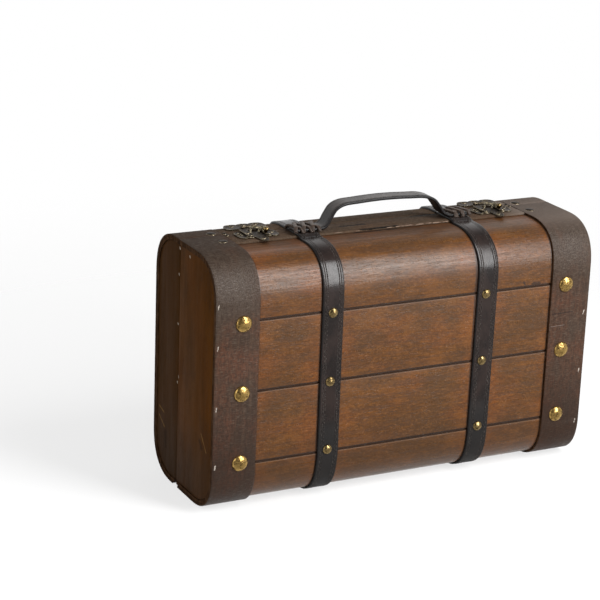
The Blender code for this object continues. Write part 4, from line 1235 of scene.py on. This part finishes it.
def flatten_upper_half(share):
    """Cuts away what lies below the XY plane and flattens the rest, in edit mode."""
    bpy.ops.mesh.bisect(plane_co=(0.0, 0.0, 0.0), plane_no=(0.0, 0.0, 1.0), clear_inner=True,
                        use_fill=True)
    bpy.ops.mesh.select_all(action="SELECT")
    bpy.ops.transform.resize(value=(1.0, 1.0, share), center_override=(0.0, 0.0, 0.0))


def nail_head(name, radius, rise):
    """A domed nail head that stands on the XY plane, with a flat underside."""
    take()
    bpy.ops.mesh.primitive_uv_sphere_add(segments=32, ring_count=20, radius=radius)
    piece = named(name)
    with editing(piece):
        flatten_upper_half(rise / radius)
    return piece


def drive_in(model, material, heads, smooth=60.0):
    """Sets a copy of a head in each place and fixes it to its body."""
    coat(model, material)
    for name, body, replaced, place, turn, tilt in heads:
        fit(put_at(spare_copy(model, name), place, turn, tilt), body, replaced, smooth)
    bpy.data.objects.remove(model)


strap_depth = SKIN_DEPTH - REST_GAP - STRAP_THICKNESS
for kind, radius, rise, nail_x, depth, brass in (
    ("band", BAND_NAIL_RADIUS, BAND_NAIL_RISE, BAND_NAIL_X, 0.0, NAIL_BRASS),
    ("strap", STRAP_NAIL_RADIUS, STRAP_NAIL_RISE, STRAP_X, strap_depth, DULL_BRASS),
):
    drive_in(nail_head("nail_model", radius, rise), brass, [
        (f"{half_name}_{kind}_nail_{end_name}_{level}", body,
         [f"{kind}_nail_{end_name}_{level}"] if side == FRONT else [],
         (end * nail_x, side * (CASE_DEPTH / 2 - depth), CASE_HEIGHT * share),
         share * 9 + end, -side * pi / 2)
        for side, half_name, body in HALVES for end, end_name in ENDS
        for level, share in NAIL_HEIGHT_SHARES.items()])


# The tacks and rivets: low heads of browned steel, one in the top of each band on both sides of the
# seam, and one through each foot of the handle. Small nails hold the ends of the flat strips.
TACK_RADIUS = 0.0046
TACK_RISE = 0.0012
TACK_X = CASE_WIDTH / 2 - 0.0345
TACK_SETBACKS = {FRONT: 0.0215, BACK: 0.0055}
STRIP_NAIL_RADIUS = 0.0023
STRIP_NAIL_RISE = 0.0009
STRIP_NAIL_X = 0.1555
STRIP_NAIL_SETBACK = 0.0030
RIVET_RADIUS = 0.0042
RIVET_RISE = 0.0013


def bronze_material(name, dark, light, worn, reach, breakup):
    """Browned metal, rubbed bright along its edges and on its crests."""
    material, tree = new_material(name, 0.5, 1.0)
    place = object_place_of(tree)
    tone = noise(place, 260.0, 5.0, 0.65)
    crests = times(ramp(add_node(tree, "NewGeometry").outputs["Pointiness"], 0.54, 0.63),
                   ramp(tone, 0.30, 0.55, 0.3, 1.0))
    rub = most(rubbed_edges(place, reach, breakup, (420.0, 420.0, 420.0)), crests)
    colour = layers(mix_colour(ramp(tone, 0.35, 0.68), dark, light), (rub, worn))
    rough = calculate("SUBTRACT", ramp(tone, 0.3, 0.7, 0.56, 0.42), times(rub, 0.12))
    return finished(material, colour, rough, tone, 0.00015)


OLD_BRONZE = bronze_material("old_bronze", (0.019, 0.0120, 0.0072), (0.066, 0.044, 0.027),
                             (0.46, 0.39, 0.27), 0.0005, 0.46)
RUBBED_BRONZE = bronze_material("rubbed_bronze", (0.050, 0.040, 0.026), (0.27, 0.225, 0.145),
                                (0.60, 0.53, 0.38), 0.0006, 0.38)
BLACK_STEEL = bronze_material("black_steel", (0.010, 0.008, 0.007), (0.034, 0.028, 0.023),
                              (0.16, 0.14, 0.11), 0.0006, 0.60)

drive_in(nail_head("tack_model", TACK_RADIUS, TACK_RISE), OLD_BRONZE, [
    (f"{half_name}_steel_tack_{end_name}", body, [f"{half_name}_tack_{end_name}"],
     (end * TACK_X, SEAM_Y + side * TACK_SETBACKS[side], CASE_HEIGHT), side + end * 0.7, 0.0)
    for side, half_name, body in HALVES for end, end_name in ENDS])
drive_in(nail_head("strip_nail_model", STRIP_NAIL_RADIUS, STRIP_NAIL_RISE), OLD_BRONZE, [
    (f"{half_name}_strip_nail_{end_name}", body, [],
     (end * STRIP_NAIL_X, SEAM_Y + side * STRIP_NAIL_SETBACK, CASE_HEIGHT - REST_GAP), side, 0.0)
    for side, half_name, body in HALVES for end, end_name in ENDS])
drive_in(nail_head("rivet_model", RIVET_RADIUS, RIVET_RISE), BLACK_STEEL, [
    (f"handle_foot_rivet_{end_name}", "base", [f"handle_rivet_{end_name}"],
     (end * STRAP_X, HANDLE_Y, STRAP_TOP_Z + REST_GAP + HANDLE_THICKNESS), end, 0.0)
    for end, end_name in ENDS])


# The hinges: a pair of browned steel butt hinges under the bottom seam, one leaf screwed to each
# half, with three knuckles round a pin.
HINGE_X = CASE_WIDTH / 2 - BAND_WIDTH - 0.0335
HINGE_ROUNDING = 0.00012
HINGE_LEAF_FACE_Z = SKIN_DEPTH - REST_GAP - 0.0008
SCREW_REACH = 0.0100
SCREW_SPREADS = (-0.0115, 0.0, 0.0115)
SCREW_RADIUS = 0.0021
SCREW_RISE = 0.0008
SCREW_SLOT_HALF_WIDTH = 0.00028
SCREW_SLOT_DEPTH = 0.0005

screw_model = nail_head("screw_model", SCREW_RADIUS, SCREW_RISE)
cut_lines(screw_model, [SCREW_SLOT_HALF_WIDTH * share for share in (-1.3, -1.0, 1.0, 1.3)], "X")
move_where(screw_model, lambda co, _n: abs(co.x) < SCREW_SLOT_HALF_WIDTH + NEAR and co.z > SCREW_RISE * 0.3,
           (0.0, 0.0, -SCREW_SLOT_DEPTH))
screws = []
for end, end_name in ENDS:
    for side, owner in ((FRONT, "base"), (BACK, "lid")):
        fit_worked_copy(f"hinge_{owner}_leaf_{end_name}", f"hinge_leaf_{owner}_{end_name}", HINGE_ROUNDING,
                        OLD_BRONZE, owner)
        screws += [(f"hinge_screw_{owner}_{end_name}_{number}", owner, [],
                    (end * HINGE_X + spread, SEAM_Y + side * SCREW_REACH, HINGE_LEAF_FACE_Z),
                    0.9 * number + end + side * 0.4, pi) for number, spread in enumerate(SCREW_SPREADS)]
    fit_worked_copy(f"hinge_pin_{end_name}", f"hinge_rod_{end_name}", HINGE_ROUNDING, OLD_BRONZE, "base")
drive_in(screw_model, OLD_BRONZE, screws, 50.0)


# The latches: stamped plates of old bronze with a raised border and scrolls, pinned down over the
# top seam. A flat ring on two legs stands on the front plate. A forked hasp that turns on the back
# plate's pin drops beside it, and is lifted by a brass knob on a ribbed lug.
LATCH_X = CASE_WIDTH / 2 - BAND_WIDTH - 0.030
PLATE_TOP_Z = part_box("latch_front_plate_left")[1][2]
HASP_TOP_Z = PLATE_TOP_Z + REST_GAP + 0.0011
PLATE_BORDER = 0.0010
PLATE_SUNK = 0.00035
PLATE_ROUNDING = 0.00016
LATCH_PIN_ROUNDING = 0.00015
STAPLE_SHIFT = -0.0003
STAPLE_Y = SEAM_Y - 0.0070
RING_RADIUS = 0.0043
RING_WIRE = 0.0008
RING_TILT = 0.16
RING_HEIGHT = 0.0048
RING_LEG_RADIUS = 0.0007
KNOB_SHIFT = 0.0093
KNOB_Y = 0.0040
KNOB_Z = 0.2527
KNOB_SIZE = (1.3, 1.1, 1.0, 1.0)
KNOB_MOVE = (-0.0004, -0.0008, -0.0009)
LUG_RADIUS = 0.0023
LUG_HEIGHT = 0.0034
LUG_LENGTH = 0.0098
LUG_Y = 0.0104
LUG_RIBS = 5
SCROLL_WIRE = 0.00048
PLATE_PIN_RADIUS = 0.0013
PLATE_PIN_RISE = 0.0008
FRONT_SCROLLS = ((-0.0162, -0.0082, 0.0025, 0.4), (0.0162, -0.0082, 0.0025, 2.7),
                 (-0.0105, -0.0172, 0.0016, 1.2), (0.0105, -0.0172, 0.0016, 1.9), (0.0, -0.0262, 0.0019, 5.5))
FRONT_PINS = ((-0.0162, -0.0082), (0.0162, -0.0082), (0.0, -0.0262))
BACK_SCROLLS = ((-0.0130, 0.0205, 0.0026, 3.9), (0.0, 0.0215, 0.0022, 0.8), (0.0130, 0.0205, 0.0026, 5.6))
BACK_PINS = ((-0.0130, 0.0205), (0.0130, 0.0205))
HASP_SCROLLS = ((-0.0093, -0.0105, 0.0019, 2.0),)


def bordered_copy(node, name, top):
    """A worked copy of a plate, with its upper face sunk a little inside a raised border."""
    piece = worked_copy(node, name)
    with editing(piece):
        choose(piece, "FACE", lambda co, way: way.z > 0.9 and abs(co.z - top) < 0.0001)
        bpy.ops.mesh.inset(thickness=PLATE_BORDER, depth=-PLATE_SUNK)
    ease_edges(piece, PLATE_ROUNDING)
    return piece


def wire_ring(name, radius, wire, steps, wire_steps):
    take()
    bpy.ops.mesh.primitive_torus_add(major_radius=radius, minor_radius=wire, major_segments=steps,
                                     minor_segments=wire_steps)
    return named(name)


def ringed_staple(name, middle_x):
    """A flat ring, tipped a little, on two short legs."""
    base_z = PLATE_TOP_Z + REST_GAP
    ring = wire_ring(name, RING_RADIUS, RING_WIRE, 32, 10)
    with editing(ring):
        bpy.ops.transform.rotate(value=RING_TILT, orient_axis="X", center_override=(0.0, 0.0, 0.0))
    parts = [put_at(ring, (middle_x, STAPLE_Y, base_z + RING_HEIGHT))]
    for end in (LEFT, RIGHT):
        take()
        bpy.ops.mesh.primitive_cone_add(vertices=16, radius1=RING_LEG_RADIUS * 1.5, radius2=RING_LEG_RADIUS,
                                        depth=RING_HEIGHT)
        place = (middle_x + end * RING_RADIUS, STAPLE_Y, base_z + RING_HEIGHT / 2)
        parts.append(put_at(named(f"{name}_leg"), place))
    return join_pieces(parts, name)


def ribbed_lug(name, middle_x):
    """The half round lug on the hasp that the knob is fixed to, with ribs across it."""
    take()
    bpy.ops.mesh.primitive_cylinder_add(vertices=24, radius=LUG_RADIUS, depth=LUG_LENGTH)
    piece = named(name)
    ribs = [LUG_LENGTH * ((i + 0.5) / LUG_RIBS - 0.5) for i in range(LUG_RIBS)]
    hollows = equal_cuts(LUG_LENGTH, LUG_RIBS)
    cut_lines(piece, sorted(ribs + hollows), "Z")
    with editing(piece):
        for places, share in ((hollows, 0.80), ((-LUG_LENGTH / 2, LUG_LENGTH / 2), 0.72)):
            choose(piece, "VERT", lambda co, _n: any(abs(co.z - place) < NEAR for place in places))
            bpy.ops.transform.resize(value=(share, share, 1.0), center_override=(0.0, 0.0, 0.0))
        bpy.ops.mesh.select_all(action="SELECT")
        bpy.ops.transform.rotate(value=pi / 2, orient_axis="X", center_override=(0.0, 0.0, 0.0))
        flatten_upper_half(LUG_HEIGHT / LUG_RADIUS)
    return put_at(piece, (middle_x, LUG_Y, HASP_TOP_Z - PLATE_SUNK))


def open_scroll(name, radius):
    """A wire curl lying on the XY plane, open at one side."""
    piece = wire_ring(name, radius, SCROLL_WIRE, 20, 8)
    with editing(piece):
        choose(piece, "FACE", lambda co, _n: co.x > 0 and -radius * 0.75 < co.y < 0)
        bpy.ops.mesh.delete(type="FACE")
        bpy.ops.mesh.select_all(action="SELECT")
        bpy.ops.mesh.fill_holes(sides=8)
        bpy.ops.transform.resize(value=(1.0, 1.3, 1.0), center_override=(0.0, 0.0, 0.0))
        bpy.ops.mesh.normals_make_consistent(inside=False)
    return piece


def scrolls_and_pins(name, middle_x, top, scrolls, pins):
    """The scrolls of one plate and the heads of the pins that hold it down, as one piece."""
    parts = [put_at(open_scroll(f"{name}_curl", radius), (middle_x + x, SEAM_Y + y, top), turn)
             for x, y, radius, turn in scrolls]
    parts += [put_at(nail_head(f"{name}_pin", PLATE_PIN_RADIUS, PLATE_PIN_RISE),
                     (middle_x + x, SEAM_Y + y, top)) for x, y in pins]
    return join_pieces(parts, name)


for end, end_name in ENDS:
    middle_x = end * LATCH_X
    hasp_body = f"{end_name}_hasp"
    for place, node, plate_name, top, body, scrolls, pins in (
        ("front", "latch_front_plate", "plate_front", PLATE_TOP_Z, "base", FRONT_SCROLLS, FRONT_PINS),
        ("back", "latch_back_plate", "plate_back", PLATE_TOP_Z, "lid", BACK_SCROLLS, BACK_PINS),
        ("hasp", "hasp", "fork", HASP_TOP_Z, hasp_body, HASP_SCROLLS, ()),
    ):
        node = f"{node}_{end_name}"
        plate = bordered_copy(node, f"latch_{plate_name}_{end_name}", top)
        trim = scrolls_and_pins(f"latch_scrolls_{place}_{end_name}", middle_x, top - PLATE_SUNK,
                                scrolls, pins)
        for piece, replaced in ((plate, [node]), (trim, [])):
            coat(piece, OLD_BRONZE)
            fit(piece, body, replaced)
    fit_worked_copy(f"latch_pin_{end_name}", f"latch_rod_{end_name}", LATCH_PIN_ROUNDING, OLD_BRONZE, "lid")
    staple = ringed_staple(f"latch_loop_{end_name}", middle_x + STAPLE_SHIFT)
    coat(staple, RUBBED_BRONZE)
    fit(staple, "base", [f"latch_staple_{end_name}"])
    lug = ribbed_lug(f"latch_lug_{end_name}", middle_x + KNOB_SHIFT)
    coat(lug, RUBBED_BRONZE)
    fit(lug, hasp_body)
    knob = worked_copy(f"hasp_knob_{end_name}", f"latch_knob_{end_name}")
    knob_place = Vector((middle_x + KNOB_SHIFT, KNOB_Y, KNOB_Z))
    wider = Matrix.Translation(knob_place) @ Matrix.Diagonal(KNOB_SIZE) @ Matrix.Translation(-knob_place)
    knob.data.transform(Matrix.Translation(KNOB_MOVE) @ wider)
    coat(knob, DULL_BRASS)
    fit(knob, hasp_body, [f"hasp_knob_{end_name}"], 60.0)
